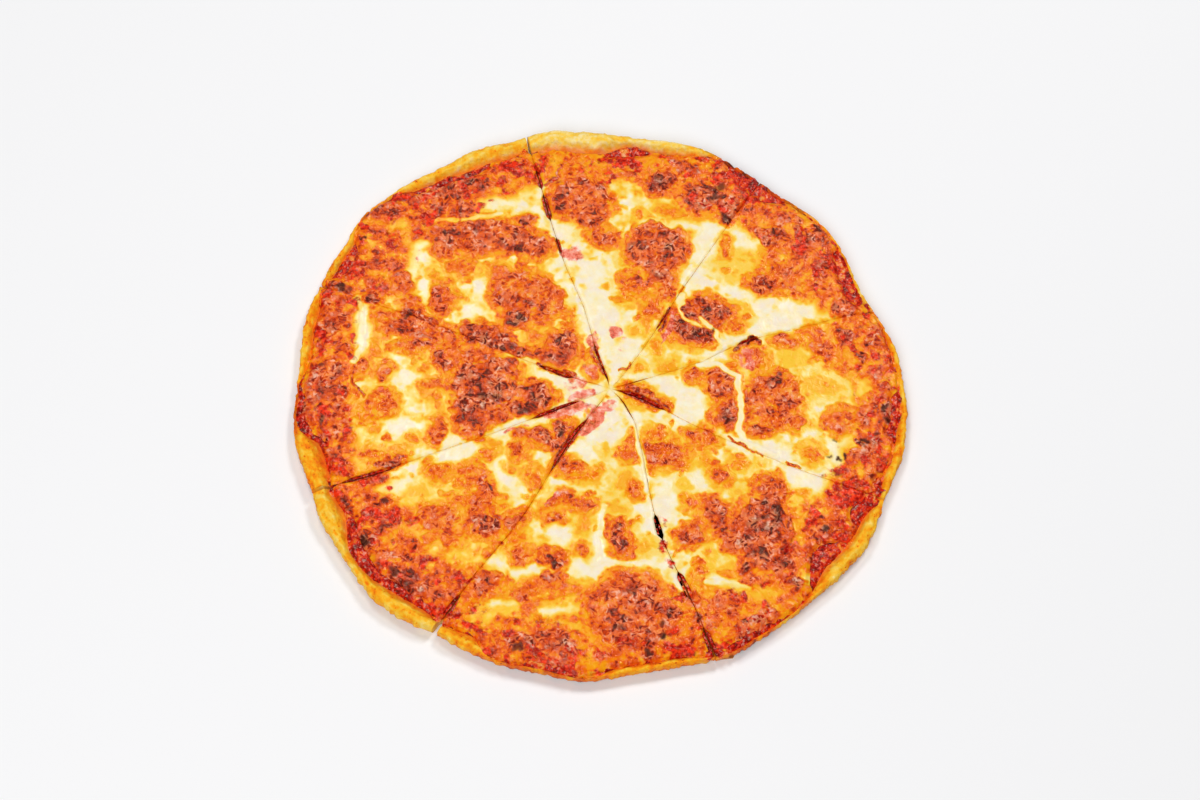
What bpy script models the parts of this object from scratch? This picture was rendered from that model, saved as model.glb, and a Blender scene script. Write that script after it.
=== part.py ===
"""Thin-crust pepperoni pizza, 30 cm across, cut into eight slices that still lie together.

Every slice has a crust with a browned rim, a layer of tomato sauce and a layer of melted cheese,
which all run through to the cuts, and rounds of pepperoni that are half sunk in the cheese.
Metres, +Z up. The origin is in the middle of the underside, which rests flat.
"""

import math
import random

import bpy
import bmesh
from mathutils import Vector, noise

MM = 0.001

# Whole pizza
PIZZA_RADIUS = 151 * MM
SIDES = 108
LEAN = 3.2 * MM
LEAN_ANGLE = 125

# Heights of the layers above the board
CRUST_TOP = 4.6 * MM
LAYER_GAP = 0.3 * MM
SAUCE_THICKNESS = 1.0 * MM
CHEESE_THICKNESS = 2.0 * MM
SAUCE_FLOOR = CRUST_TOP + LAYER_GAP
SAUCE_TOP = SAUCE_FLOOR + SAUCE_THICKNESS
CHEESE_FLOOR = SAUCE_TOP + LAYER_GAP

# Rim of the crust
THIN_RIM = 1.8 * MM
RIM_RISE = 1.7 * MM
RISE_PER_WIDTH = 0.26
UNDERCUT = 3.2 * MM
CRAG = 0.45 * MM

# Edges of the sauce and the cheese inside the rim
SIDE_GAP = 0.5 * MM
CHEESE_INSET = 1.0 * MM
SAUCE_SWELL = 0.16
CHEESE_ROLL = 2.4 * MM
CHEESE_SHOULDER = 7.0 * MM

# Pepperoni
PEPPERONI_SIDES = 14
PEPPERONI_FLOOR = CHEESE_FLOOR + 0.9 * MM
PEPPERONI_THICKNESS = 1.7 * MM
PEPPERONI_DOME = 0.5 * MM
POCKET_GAP = 0.35 * MM
SMALLEST_SHARE = 0.12

# Knife cuts, as (x, y, width of the gap) in mm from the middle out to past the rim.
# They are in the order of their angle, so slice 1 lies between the first and the second.
CUTS = [
    [(5, 2, 0.7), (30, 13, 0.6), (50, 22, 0.6), (68, 34, 1.4), (91, 43, 0.7), (118, 53, 0.6), (158, 66, 0.6)],
    [(5, 2, 0.7), (20, 28, 0.6), (31, 51, 1.0), (46, 80, 0.6), (62, 110, 0.6), (86, 154, 0.8)],
    [(5, 2, 0.7), (-4, 22, 1.4), (-12, 47, 0.7), (-22, 68, 1.3), (-28, 84, 2.2), (-34, 101, 2.2),
     (-41, 123, 2.0), (-48, 143, 1.2), (-54, 160, 1.6)],
    [(5, 2, 0.7), (-20, 8, 2.2), (-38, 14, 1.2), (-66, 24, 0.9), (-91, 33, 0.8), (-116, 40, 0.8),
     (-160, 53, 0.8)],
    [(5, 2, 0.7), (-20, -11, 2.0), (-50, -27, 0.9), (-83, -43, 1.0), (-105, -54, 2.0),
     (-127, -63, 1.8), (-152, -76, 4.0)],
    [(5, 2, 0.7), (-11, -24, 2.2), (-23, -49, 1.2), (-34, -73, 0.8), (-53, -103, 0.8),
     (-62, -120, 2.4), (-71, -136, 3.0), (-80, -152, 4.0)],
    [(5, 2, 0.7), (17, -15, 0.8), (25, -46, 0.8), (33, -75, 2.3), (46, -100, 2.5),
     (58, -126, 2.8), (69, -150, 3.6)],
    [(5, 2, 0.7), (20, -2, 2.6), (47, -15, 0.8), (80, -28, 0.6), (110, -38, 0.6), (160, -52, 0.6)],
]
CUT_STEPS = 2
BLADE_BELOW = -5 * MM
BLADE_ABOVE = 25 * MM
BLADE_OVERRUN = 3 * MM

# Bulges and dents of the outline, as (angle, half width in degrees, height in mm)
OUTLINE_LOBES = [
    (28, 9, -6.8), (57, 7, -3.4), (75, 3.5, 2.6), (87, 5, -1.2), (104, 3.5, 4.0), (118, 4, 2.2),
    (135, 3.5, 2.4), (144, 4, 4.6), (161, 4, -1.6), (181, 10, -4.2), (202, 5, -2.0),
    (230, 6, 4.4), (241, 4, 2.0), (255, 4, 1.8), (270, 4, 3.0), (285, 7, -1.4), (297, 4, 2.2),
    (315, 4, -1.2), (331, 6, 2.0), (343, 4, -1.8), (356, 8, 1.5),
]

# Stretches where the rim is bare crust, as (angle, half width in degrees, width of the rim in mm)
BARE_RIM = [
    (100, 10, 13), (80, 7, 8), (117, 8, 10.5), (129, 6, 6.5), (154, 6, 5), (172, 8, 6.5),
    (201, 7, 12.5), (212, 5, 12.5), (222, 5, 4.5), (235, 9, 9.5), (247, 5, 8), (283, 9, 4.5),
    (329, 10, 9), (352, 8, 6.5), (9, 9, 4), (38, 12, 2.8),
]

# Stretches where sauce shows inside the rim, as (angle, half width in degrees, width in mm)
BARE_SAUCE = [
    (125, 7, 3.5), (155, 3, 4.5), (190, 6, 2.5), (221, 6, 5.5), (233, 5, 3), (264, 4, 2.5),
    (302, 7, 2.5), (324, 4, 8), (339, 4, 7), (0, 5, 3.5), (61, 5, 8), (32, 6, 5), (88, 4, 6),
]

# Rounds of pepperoni, as (x, y, half length, half width in mm, turn in degrees)
PEPPERONI = [
    (83, 70, 14, 13.5, 0), (88, 97, 12.5, 11.5, 30), (46, 44, 15, 11, 45),
    (-18, 109, 16.5, 16, 0), (23, 82, 18, 17.5, 20), (45, 117, 13, 12.5, 0), (20, 127, 10, 9, 10),
    (-29, 76, 12, 12, 0),
    (-66, 83, 20.5, 13.5, 5), (-41, 48, 17, 16, -30), (-84, 108, 18, 6.5, 35),
    (-57, -2, 20, 15.5, -6), (-95, 20, 16, 8, -16), (-131, 21, 12, 9, 80), (-131, -13, 12, 9.5, 95),
    (-8, -7, 15, 14, 0),
    (-62, -74, 16.5, 15.5, 0), (-36, -37, 11, 10, 30), (-82, -103, 11, 10, 40),
    (-107, -86, 9, 7, 60), (-55, -107, 12, 11.5, 0),
    (22, -117, 21, 20, 0), (-25, -110, 13.5, 12.5, 10), (-14, -64, 12.5, 12, 0),
    (80, -68, 22, 18.5, 70), (74, -112, 15, 9.5, 33), (34, -31, 10.5, 9.5, 0), (112, -65, 7.5, 7, 0),
    (85, 1, 17, 16.5, 0), (57, 8, 10.5, 10, 0), (127, -14, 10.5, 9.5, 100),
]

COLOURS = {
    "crust": ((0.80, 0.47, 0.13, 1), 0.62),
    "sauce": ((0.55, 0.03, 0.012, 1), 0.35),
    "cheese": ((0.92, 0.62, 0.20, 1), 0.32),
    "pepperoni": ((0.42, 0.07, 0.025, 1), 0.34),
}


def clear_scene():
    for item in list(bpy.data.objects):
        bpy.data.objects.remove(item, do_unlink=True)


def new_collection(name):
    collection = bpy.data.collections.new(name)
    bpy.context.scene.collection.children.link(collection)
    return collection


def food_material(name):
    colour, roughness = COLOURS[name]
    material = bpy.data.materials.new(name)
    material.use_nodes = True
    shader = material.node_tree.nodes["Principled BSDF"]
    shader.inputs["Base Color"].default_value = colour
    shader.inputs["Roughness"].default_value = roughness
    shader.inputs["Metallic"].default_value = 0.0
    return material


# ---- Measures that change round the pizza -------------------------------------------------

def turn_between(a, b):
    """The smaller angle between two directions, in degrees."""
    return abs((a - b + 180) % 360 - 180)


def widest(stretches, angle, least):
    """The largest of the stretches at an angle; each fades out over its last third."""
    best = least
    for middle, half, size in stretches:
        inside = min(max((half * 1.3 - turn_between(angle, middle)) / (half * 0.6), 0), 1)
        best = max(best, least + (size * MM - least) * inside)
    return best


def outline_radius(angle):
    """Radius of the crust's outer edge."""
    radius = PIZZA_RADIUS + LEAN * math.cos(math.radians(angle - LEAN_ANGLE))
    for middle, half, height in OUTLINE_LOBES:
        radius += height * MM * math.exp(-(turn_between(angle, middle) / half) ** 2)
    return radius


def rim_width(angle):
    return widest(BARE_RIM, angle, THIN_RIM)


def rim_foot_radius(angle):
    """Radius where the rim meets the flat base that carries the sauce."""
    return outline_radius(angle) - rim_width(angle)


def sauce_width(angle):
    """How far the sauce reaches out past the cheese."""
    return widest(BARE_SAUCE, angle, CHEESE_INSET)


def sauce_radius(angle):
    return rim_foot_radius(angle) - SIDE_GAP


def cheese_radius(angle):
    return rim_foot_radius(angle) - sauce_width(angle)


def cheese_height(x, y):
    """Height of the melted cheese away from its edge: broad swells with smaller lumps on them."""
    swell = noise.noise(Vector((x, y, 0)) / (19 * MM))
    lump = noise.noise(Vector((x, y, 5 * MM)) / (8 * MM))
    return CHEESE_FLOOR + CHEESE_THICKNESS + swell * 0.5 * MM + lump * 0.35 * MM


# ---- Building solids ----------------------------------------------------------------------

def lofted(name, rings, collection, material=None):
    """A closed solid through rings of equal length, with a flat face on the first and the last."""
    bm = bmesh.new()
    loops = [[bm.verts.new(point) for point in ring] for ring in rings]
    count = len(loops[0])
    for lower, upper in zip(loops, loops[1:]):
        for i in range(count):
            j = (i + 1) % count
            bm.faces.new((lower[i], lower[j], upper[j], upper[i]))
    bm.faces.new(list(reversed(loops[0])))
    bm.faces.new(loops[-1])
    bmesh.ops.recalc_face_normals(bm, faces=bm.faces)
    bent = [face for face in bm.faces if len(face.verts) == 4]
    bmesh.ops.triangulate(bm, faces=bent)
    mesh = bpy.data.meshes.new(name)
    bm.to_mesh(mesh)
    bm.free()
    solid = bpy.data.objects.new(name, mesh)
    collection.objects.link(solid)
    if material:
        mesh.materials.append(material)
    return solid


def polar(angle, radius, height):
    turn = math.radians(angle)
    return Vector((radius * math.cos(turn), radius * math.sin(turn), height))


def around():
    """The angles of the outline's corners, in degrees."""
    return [360 * i / SIDES for i in range(SIDES)]


def make_crust(collection, material):
    """The base with its rim: flat below and inside, rounded and craggy round the outside."""
    crags = random.Random(11)
    # Each ring is (inwards from the edge as a share of the rim's width, inwards in metres,
    # height as a share of the rim's rise above the base, lowest height, roughness)
    section = [
        (0.0, UNDERCUT, 0.0, 0.0, 0.3),
        (0.0, 0.0, 0.0, 2.4 * MM, 0.8),
        (0.04, 0.0, 0.6, CRUST_TOP, 1.0),
        (0.36, 0.0, 1.0, CRUST_TOP, 1.0),
        (0.72, 0.0, 0.72, CRUST_TOP, 0.5),
        (1.0, 0.0, 0.0, CRUST_TOP, 0.0),
    ]
    rings = []
    for share, inwards, rise_share, floor, rough in section:
        ring = []
        for angle in around():
            width = rim_width(angle)
            rise = RIM_RISE + (width - THIN_RIM) * RISE_PER_WIDTH
            jag = crags.uniform(-CRAG, CRAG) * rough
            lift = crags.uniform(-CRAG, CRAG) * rough if rise_share else 0
            radius = outline_radius(angle) - share * width - inwards + jag * min(1, 2 - 2 * share)
            ring.append(polar(angle, radius, floor + rise_share * rise + lift * rise / RIM_RISE * 0.4))
        rings.append(ring)
    return lofted("crust", rings, collection, material)


def make_sauce(collection, material):
    """A thin even layer that swells up where no cheese covers it."""
    foot, crest, inner = [], [], []
    for angle in around():
        bare = sauce_width(angle) - SIDE_GAP
        edge = sauce_radius(angle)
        foot.append(polar(angle, edge, SAUCE_FLOOR))
        crest.append(polar(angle, edge - 0.4 * (bare - LAYER_GAP), SAUCE_TOP + bare * SAUCE_SWELL))
        inner.append(polar(angle, edge - bare + LAYER_GAP, SAUCE_TOP))
    return lofted("sauce", [foot, crest, inner], collection, material)


def make_cheese(collection, material):
    """The melted layer: flat where it lies on the sauce, rolled over at its edge, uneven on top."""
    rings = []
    for inwards, height in ((0.4 * MM, CHEESE_FLOOR), (0.0, CHEESE_FLOOR + 0.7 * MM)):
        rings.append([polar(a, cheese_radius(a) - inwards, height) for a in around()])
    for share in (1.0, 0.93, 0.79, 0.6, 0.36):
        ring = []
        for angle in around():
            radius = cheese_radius(angle) * share - (CHEESE_ROLL if share == 1 else 0)
            place = polar(angle, radius, 0)
            sunk = min(max((radius + CHEESE_SHOULDER - cheese_radius(angle)) / CHEESE_SHOULDER, 0), 1)
            place.z = cheese_height(place.x, place.y) - sunk * 0.9 * MM
            ring.append(place)
        rings.append(ring)
    middle = cheese_height(0, 0)
    rings.append([polar(a, 0.08 * PIZZA_RADIUS, middle) for a in around()])
    return lofted("cheese", rings, collection, material)


def round_outline(place, number, grow):
    """Corners of a pepperoni round, slightly uneven and kept inside the cheese."""
    x, y, half_length, half_width, turn = place
    corners = []
    for i in range(PEPPERONI_SIDES):
        step = 2 * math.pi * i / PEPPERONI_SIDES
        uneven = 1 + 0.09 * noise.noise(Vector((math.cos(step), math.sin(step), number * 3.7)))
        along = (half_length * MM * uneven + grow) * math.cos(step)
        across = (half_width * MM * uneven + grow) * math.sin(step)
        tilt = math.radians(turn)
        corner = Vector((
            x * MM + along * math.cos(tilt) - across * math.sin(tilt),
            y * MM + along * math.sin(tilt) + across * math.cos(tilt),
            0,
        ))
        reach = cheese_radius(math.degrees(math.atan2(corner.y, corner.x)) % 360) - CHEESE_INSET
        if corner.length > reach + grow:
            corner *= (reach + grow) / corner.length
        corners.append(corner)
    return corners


def shrunk(corners, share, height, dome=0.0):
    """The outline drawn in towards its middle and set at a height."""
    middle = sum(corners, Vector()) / len(corners)
    ring = []
    for corner in corners:
        point = middle + (corner - middle) * share
        point.z = height + dome
        ring.append(point)
    return ring


def make_pepperoni(number, place, collection, material):
    """One slice of sausage: a thin disc with a soft edge and a slightly raised middle."""
    corners = round_outline(place, number, 0)
    top = PEPPERONI_FLOOR + PEPPERONI_THICKNESS
    rings = [
        shrunk(corners, 0.97, PEPPERONI_FLOOR),
        shrunk(corners, 1.0, PEPPERONI_FLOOR + 0.8 * PEPPERONI_THICKNESS),
        shrunk(corners, 0.62, top, PEPPERONI_DOME),
    ]
    return lofted("pepperoni", rings, collection, material)


def make_pocket(number, place, collection):
    """The hollow that one round of pepperoni has pressed into the cheese."""
    corners = round_outline(place, number, POCKET_GAP)
    floor = PEPPERONI_FLOOR - POCKET_GAP
    return as_cutter(lofted("pocket", [shrunk(corners, 1, floor), shrunk(corners, 1, BLADE_ABOVE)],
                            collection))


# ---- Cutting ------------------------------------------------------------------------------

def as_cutter(item):
    item.hide_render = True
    item.display_type = "WIRE"
    return item


def cut_line(cut):
    """Smooth line through a cut's points, as (x, y, width of the gap) in metres."""
    points = [Vector(point) * MM for point in cut]
    points = [2 * points[0] - points[1]] + points + [2 * points[-1] - points[-2]]
    line = []
    for a, b, c, d in zip(points, points[1:], points[2:], points[3:]):
        for step in range(CUT_STEPS):
            t = step / CUT_STEPS
            bend = (2 * a - 5 * b + 4 * c - d) * t * t + (3 * b - a - 3 * c + d) * t ** 3
            line.append(b + ((c - a) * t + bend) / 2)
    line.append(points[-2])
    return line


def make_blade(cut, collection):
    """The space that a knife cut leaves: a ribbon of changing width that stands through the pizza."""
    line = cut_line(cut)
    heading = (line[1] - line[0]).normalized()
    line.insert(0, line[0] - Vector((heading.x, heading.y, 0)) * BLADE_OVERRUN)
    left, right = [], []
    for i, point in enumerate(line):
        ahead = line[min(i + 1, len(line) - 1)] - line[max(i - 1, 0)]
        side = Vector((-ahead.y, ahead.x)).normalized() * point.z / 2
        left.append((point.x + side.x, point.y + side.y))
        right.append((point.x - side.x, point.y - side.y))
    outline = left + right[::-1]
    curve = bpy.data.curves.new("blade", "CURVE")
    curve.dimensions = "2D"
    curve.fill_mode = "BOTH"
    curve.extrude = (BLADE_ABOVE - BLADE_BELOW) / 2
    spline = curve.splines.new("POLY")
    spline.points.add(len(outline) - 1)
    for point, (x, y) in zip(spline.points, outline):
        point.co = (x, y, 0, 1)
    spline.use_cyclic_u = True
    drawn = bpy.data.objects.new("blade_curve", curve)
    drawn.location.z = (BLADE_ABOVE + BLADE_BELOW) / 2
    collection.objects.link(drawn)
    return as_cutter(mesh_of_curve(drawn, "blade", collection))


def mesh_of_curve(drawn, name, collection):
    """A mesh object in place of an extruded curve, with its caps welded on."""
    bpy.context.view_layer.update()
    evaluated = drawn.evaluated_get(bpy.context.evaluated_depsgraph_get())
    mesh = bpy.data.meshes.new_from_object(evaluated)
    bm = bmesh.new()
    bm.from_mesh(mesh)
    bmesh.ops.remove_doubles(bm, verts=bm.verts, dist=0.00001)
    bmesh.ops.recalc_face_normals(bm, faces=bm.faces)
    bm.to_mesh(mesh)
    bm.free()
    solid = bpy.data.objects.new(name, mesh)
    solid.matrix_world = drawn.matrix_world
    collection.objects.link(solid)
    bpy.data.objects.remove(drawn, do_unlink=True)
    return solid


def cut_away(item, cutters):
    """Takes a collection of cutters away from an object for good."""
    modifier = item.modifiers.new("cut", "BOOLEAN")
    modifier.operation = "DIFFERENCE"
    modifier.operand_type = "COLLECTION"
    modifier.collection = cutters
    modifier.solver = "EXACT"
    bpy.context.view_layer.objects.active = item
    bpy.ops.object.modifier_apply(modifier=modifier.name)


def cut_angle(cut, distance):
    """Direction in degrees from the middle of the cuts to a cut, at a distance along it."""
    middle = Vector(CUTS[0][0][:2]) * MM
    reached = [point.xy - middle for point in cut_line(cut)]
    for near, far in zip(reached, reached[1:]):
        if far.length >= distance:
            share = (distance - near.length) / max(far.length - near.length, 1e-6)
            point = near.lerp(far, min(max(share, 0), 1))
            return math.degrees(math.atan2(point.y, point.x)) % 360
    return math.degrees(math.atan2(reached[-1].y, reached[-1].x)) % 360


def slice_number(x, y):
    """Number of the slice that a point lies in, from 1 to 8."""
    middle = Vector(CUTS[0][0][:2]) * MM
    point = Vector((x, y)) - middle
    angle = math.degrees(math.atan2(point.y, point.x)) % 360
    passed = sum(1 for cut in CUTS if cut_angle(cut, point.length) <= angle)
    return passed if passed else len(CUTS)


def volume_and_middle(item):
    """Volume of a closed mesh, and the middle of its flat outline seen from above."""
    bm = bmesh.new()
    bm.from_mesh(item.data)
    volume = bm.calc_volume()
    weight = sum(face.calc_area() for face in bm.faces)
    middle = sum((face.calc_center_median() * face.calc_area() for face in bm.faces), Vector()) / weight
    bm.free()
    return volume, middle


def slice_apart(item, blades):
    """Cuts an object along the knife cuts; gives its pieces as {slice number: object}."""
    whole, _ = volume_and_middle(item)
    cut_away(item, blades)
    bpy.ops.object.select_all(action="DESELECT")
    item.select_set(True)
    bpy.context.view_layer.objects.active = item
    bpy.ops.mesh.separate(type="LOOSE")
    pieces = {}
    for piece in list(bpy.context.selected_objects):
        volume, middle = volume_and_middle(piece)
        number = slice_number(middle.x, middle.y)
        if volume < whole * SMALLEST_SHARE / len(CUTS) or number in pieces:
            bpy.data.objects.remove(piece, do_unlink=True)
        else:
            pieces[number] = piece
    return pieces


def name_pieces(pieces, name):
    for number, piece in pieces.items():
        piece.name = f"{name}_{number}"
        piece.data.name = piece.name
        piece.data.shade_smooth()
        piece.data.set_sharp_from_angle(angle=math.radians(40))


def place_pepperoni(collection, blades, material):
    """All the rounds; one that a knife went through becomes a piece in each slice it lies in."""
    counts = {}
    for number, place in enumerate(PEPPERONI):
        disc = make_pepperoni(number, place, collection, material)
        crossed = {slice_number(corner.x, corner.y) for corner in round_outline(place, number, POCKET_GAP)}
        if len(crossed) > 1:
            whole, _ = volume_and_middle(disc)
            pieces = slice_apart(disc, blades)
        else:
            whole = 0
            pieces = {crossed.pop(): disc}
        for home in sorted(pieces):
            piece = pieces[home]
            volume, _ = volume_and_middle(piece)
            if volume < whole * SMALLEST_SHARE:
                bpy.data.objects.remove(piece, do_unlink=True)
                continue
            counts[home] = counts.get(home, 0) + 1
            name_pieces({f"{home}_{counts[home]}": piece}, "pepperoni")


def build_pizza():
    clear_scene()
    pizza = new_collection("pizza")
    blades = new_collection("blades")
    pockets = new_collection("pockets")
    for cut in CUTS:
        make_blade(cut, blades)
    for number, place in enumerate(PEPPERONI):
        make_pocket(number, place, pockets)
    materials = {name: food_material(name) for name in COLOURS}
    name_pieces(slice_apart(make_crust(pizza, materials["crust"]), blades), "crust")
    name_pieces(slice_apart(make_sauce(pizza, materials["sauce"]), blades), "sauce")
    cheese = make_cheese(pizza, materials["cheese"])
    cut_away(cheese, pockets)
    name_pieces(slice_apart(cheese, blades), "cheese")
    place_pepperoni(pizza, blades, materials["pepperoni"])


build_pizza()
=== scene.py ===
# %% [markdown]
# # A pepperoni pizza, dressed for the camera
# The solids of the pizza are already made: eight slices, each with a crust, a layer of sauce, a
# layer of melted cheese and its rounds of pepperoni. This lesson gives them the skin of real baked
# food. Everything is measured from those solids, in the same frame, so that each new piece lies
# exactly where its solid lies. Lengths are in millimetres until a mesh is made.

import math

import bpy
import numpy as np
from mathutils import Matrix, Vector
from mathutils.bvhtree import BVHTree
from mathutils.geometry import delaunay_2d_cdt


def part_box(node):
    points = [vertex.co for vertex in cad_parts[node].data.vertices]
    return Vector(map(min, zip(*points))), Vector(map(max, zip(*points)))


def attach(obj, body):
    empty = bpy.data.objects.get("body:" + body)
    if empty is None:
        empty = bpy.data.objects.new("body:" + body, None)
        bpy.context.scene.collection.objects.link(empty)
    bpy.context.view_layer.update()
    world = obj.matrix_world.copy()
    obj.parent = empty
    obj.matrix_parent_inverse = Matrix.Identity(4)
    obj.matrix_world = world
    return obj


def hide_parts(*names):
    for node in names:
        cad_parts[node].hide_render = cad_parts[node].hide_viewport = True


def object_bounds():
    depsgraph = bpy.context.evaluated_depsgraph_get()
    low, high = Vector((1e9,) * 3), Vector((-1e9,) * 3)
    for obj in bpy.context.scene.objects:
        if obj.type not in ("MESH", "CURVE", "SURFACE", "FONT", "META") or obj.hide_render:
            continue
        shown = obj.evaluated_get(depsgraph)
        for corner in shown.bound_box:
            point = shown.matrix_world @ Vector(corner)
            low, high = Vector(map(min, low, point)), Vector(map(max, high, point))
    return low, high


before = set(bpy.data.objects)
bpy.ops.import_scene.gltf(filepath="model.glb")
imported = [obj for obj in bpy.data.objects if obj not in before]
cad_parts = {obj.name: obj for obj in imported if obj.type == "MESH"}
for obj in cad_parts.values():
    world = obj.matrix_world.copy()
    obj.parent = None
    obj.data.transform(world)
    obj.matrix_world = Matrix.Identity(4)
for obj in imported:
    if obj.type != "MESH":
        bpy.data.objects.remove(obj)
cad_low, cad_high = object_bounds()
MM = 0.001
SLICES = range(1, 9)
print("solids:", len(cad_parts), "box:", [round(v / MM, 1) for v in (*cad_low, *cad_high)])

# %% [markdown]
# ## Camera
# The photograph looks down on the pizza from the near side, about 61 degrees above the floor, and
# the camera is rolled a little. Working out the three axes of the camera once is easier than
# turning it by hand: one axis points along the view, and the other two are turned by the roll.

# %% Camera
VIEW_ABOVE_FLOOR = math.radians(61.5)
ROLL = math.radians(4.4)
CAMERA_PLACE = Vector((-0.49, -547.8, 1007.28))
LENS = 70

along_view = Vector((0, math.cos(VIEW_ABOVE_FLOOR), -math.sin(VIEW_ABOVE_FLOOR)))
level_right = Vector((1, 0, 0))
level_up = level_right.cross(along_view)
camera_right = math.cos(ROLL) * level_right + math.sin(ROLL) * level_up
camera_up = math.cos(ROLL) * level_up - math.sin(ROLL) * level_right

camera_data = bpy.data.cameras.new("camera")
camera_data.lens = LENS
camera_data.clip_start = 0.01
camera = bpy.data.objects.new("camera", camera_data)
camera.matrix_world = Matrix.LocRotScale(
    CAMERA_PLACE * MM,
    Matrix((camera_right, camera_up, -along_view)).transposed().to_quaternion(),
    None,
)
bpy.context.scene.collection.objects.link(camera)
bpy.context.scene.camera = camera
print("camera", [round(v) for v in CAMERA_PLACE], "mm from the middle of the underside")

# %% [markdown]
# ## Uneven things
# Nothing in food is even, so almost every measure below is made a little wrong on purpose. The
# noise here is smooth: a table of random directions, seeded, is blended between grid points, and
# `size` is the distance between its bumps. It is worked out for many points at once with numpy,
# because a slice has some thirty thousand of them.

# %% Noise
NOISE_CELLS = 256
noise_directions = {}


def ripple(x, y, size, seed):
    """Smooth noise from about -1 to 1, with bumps `size` millimetres apart."""
    if seed not in noise_directions:
        random = np.random.default_rng(seed)
        noise_directions[seed] = random.uniform(0, 2 * math.pi, (NOISE_CELLS, NOISE_CELLS))
    directions = noise_directions[seed]
    x = np.asarray(x, float) / size
    y = np.asarray(y, float) / size
    column = np.floor(x).astype(int)
    row = np.floor(y).astype(int)
    across = x - column
    along = y - row

    def pull(step_x, step_y):
        angle = directions[(column + step_x) % NOISE_CELLS, (row + step_y) % NOISE_CELLS]
        return np.cos(angle) * (across - step_x) + np.sin(angle) * (along - step_y)

    ease_x = across ** 3 * (across * (across * 6 - 15) + 10)
    ease_y = along ** 3 * (along * (along * 6 - 15) + 10)
    near = pull(0, 0) * (1 - ease_x) + pull(1, 0) * ease_x
    far = pull(0, 1) * (1 - ease_x) + pull(1, 1) * ease_x
    return 1.45 * (near * (1 - ease_y) + far * ease_y)


def ripples(x, y, size, seed, layers=2):
    """Noise with finer noise on it: each layer is half as large and about half as strong."""
    total = sum(0.55 ** k * ripple(x, y, size / 2 ** k, seed + 17 * k) for k in range(layers))
    return 1.25 * total / sum(0.55 ** k for k in range(layers))


def ease(low, high, value):
    """0 below low, 1 above high and a smooth rise between; low may be the larger one."""
    share = np.clip((value - low) / (high - low), 0, 1)
    return share * share * (3 - 2 * share)


def blisters(x, y, cell, seed):
    """Small domes, one in each square cell, a little out of line with each other."""
    random = np.random.default_rng(seed)
    shift = random.uniform(0.15, 0.85, (NOISE_CELLS, NOISE_CELLS, 2))
    size = random.uniform(0.25, 0.62, (NOISE_CELLS, NOISE_CELLS))
    column = np.floor(x / cell).astype(int)
    row = np.floor(y / cell).astype(int)
    height = np.zeros(len(x))
    for step_x in (-1, 0, 1):
        for step_y in (-1, 0, 1):
            i = (column + step_x) % NOISE_CELLS
            j = (row + step_y) % NOISE_CELLS
            away_x = x / cell - column - step_x - shift[i, j, 0]
            away_y = y / cell - row - step_y - shift[i, j, 1]
            share = 1 - (away_x ** 2 + away_y ** 2) / size[i, j] ** 2
            height = np.maximum(height, np.sqrt(np.maximum(share, 0)) * size[i, j])
    return height


print("noise at the middle:", round(float(ripples(0.3, 0.4, 1, 1)), 3))
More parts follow.
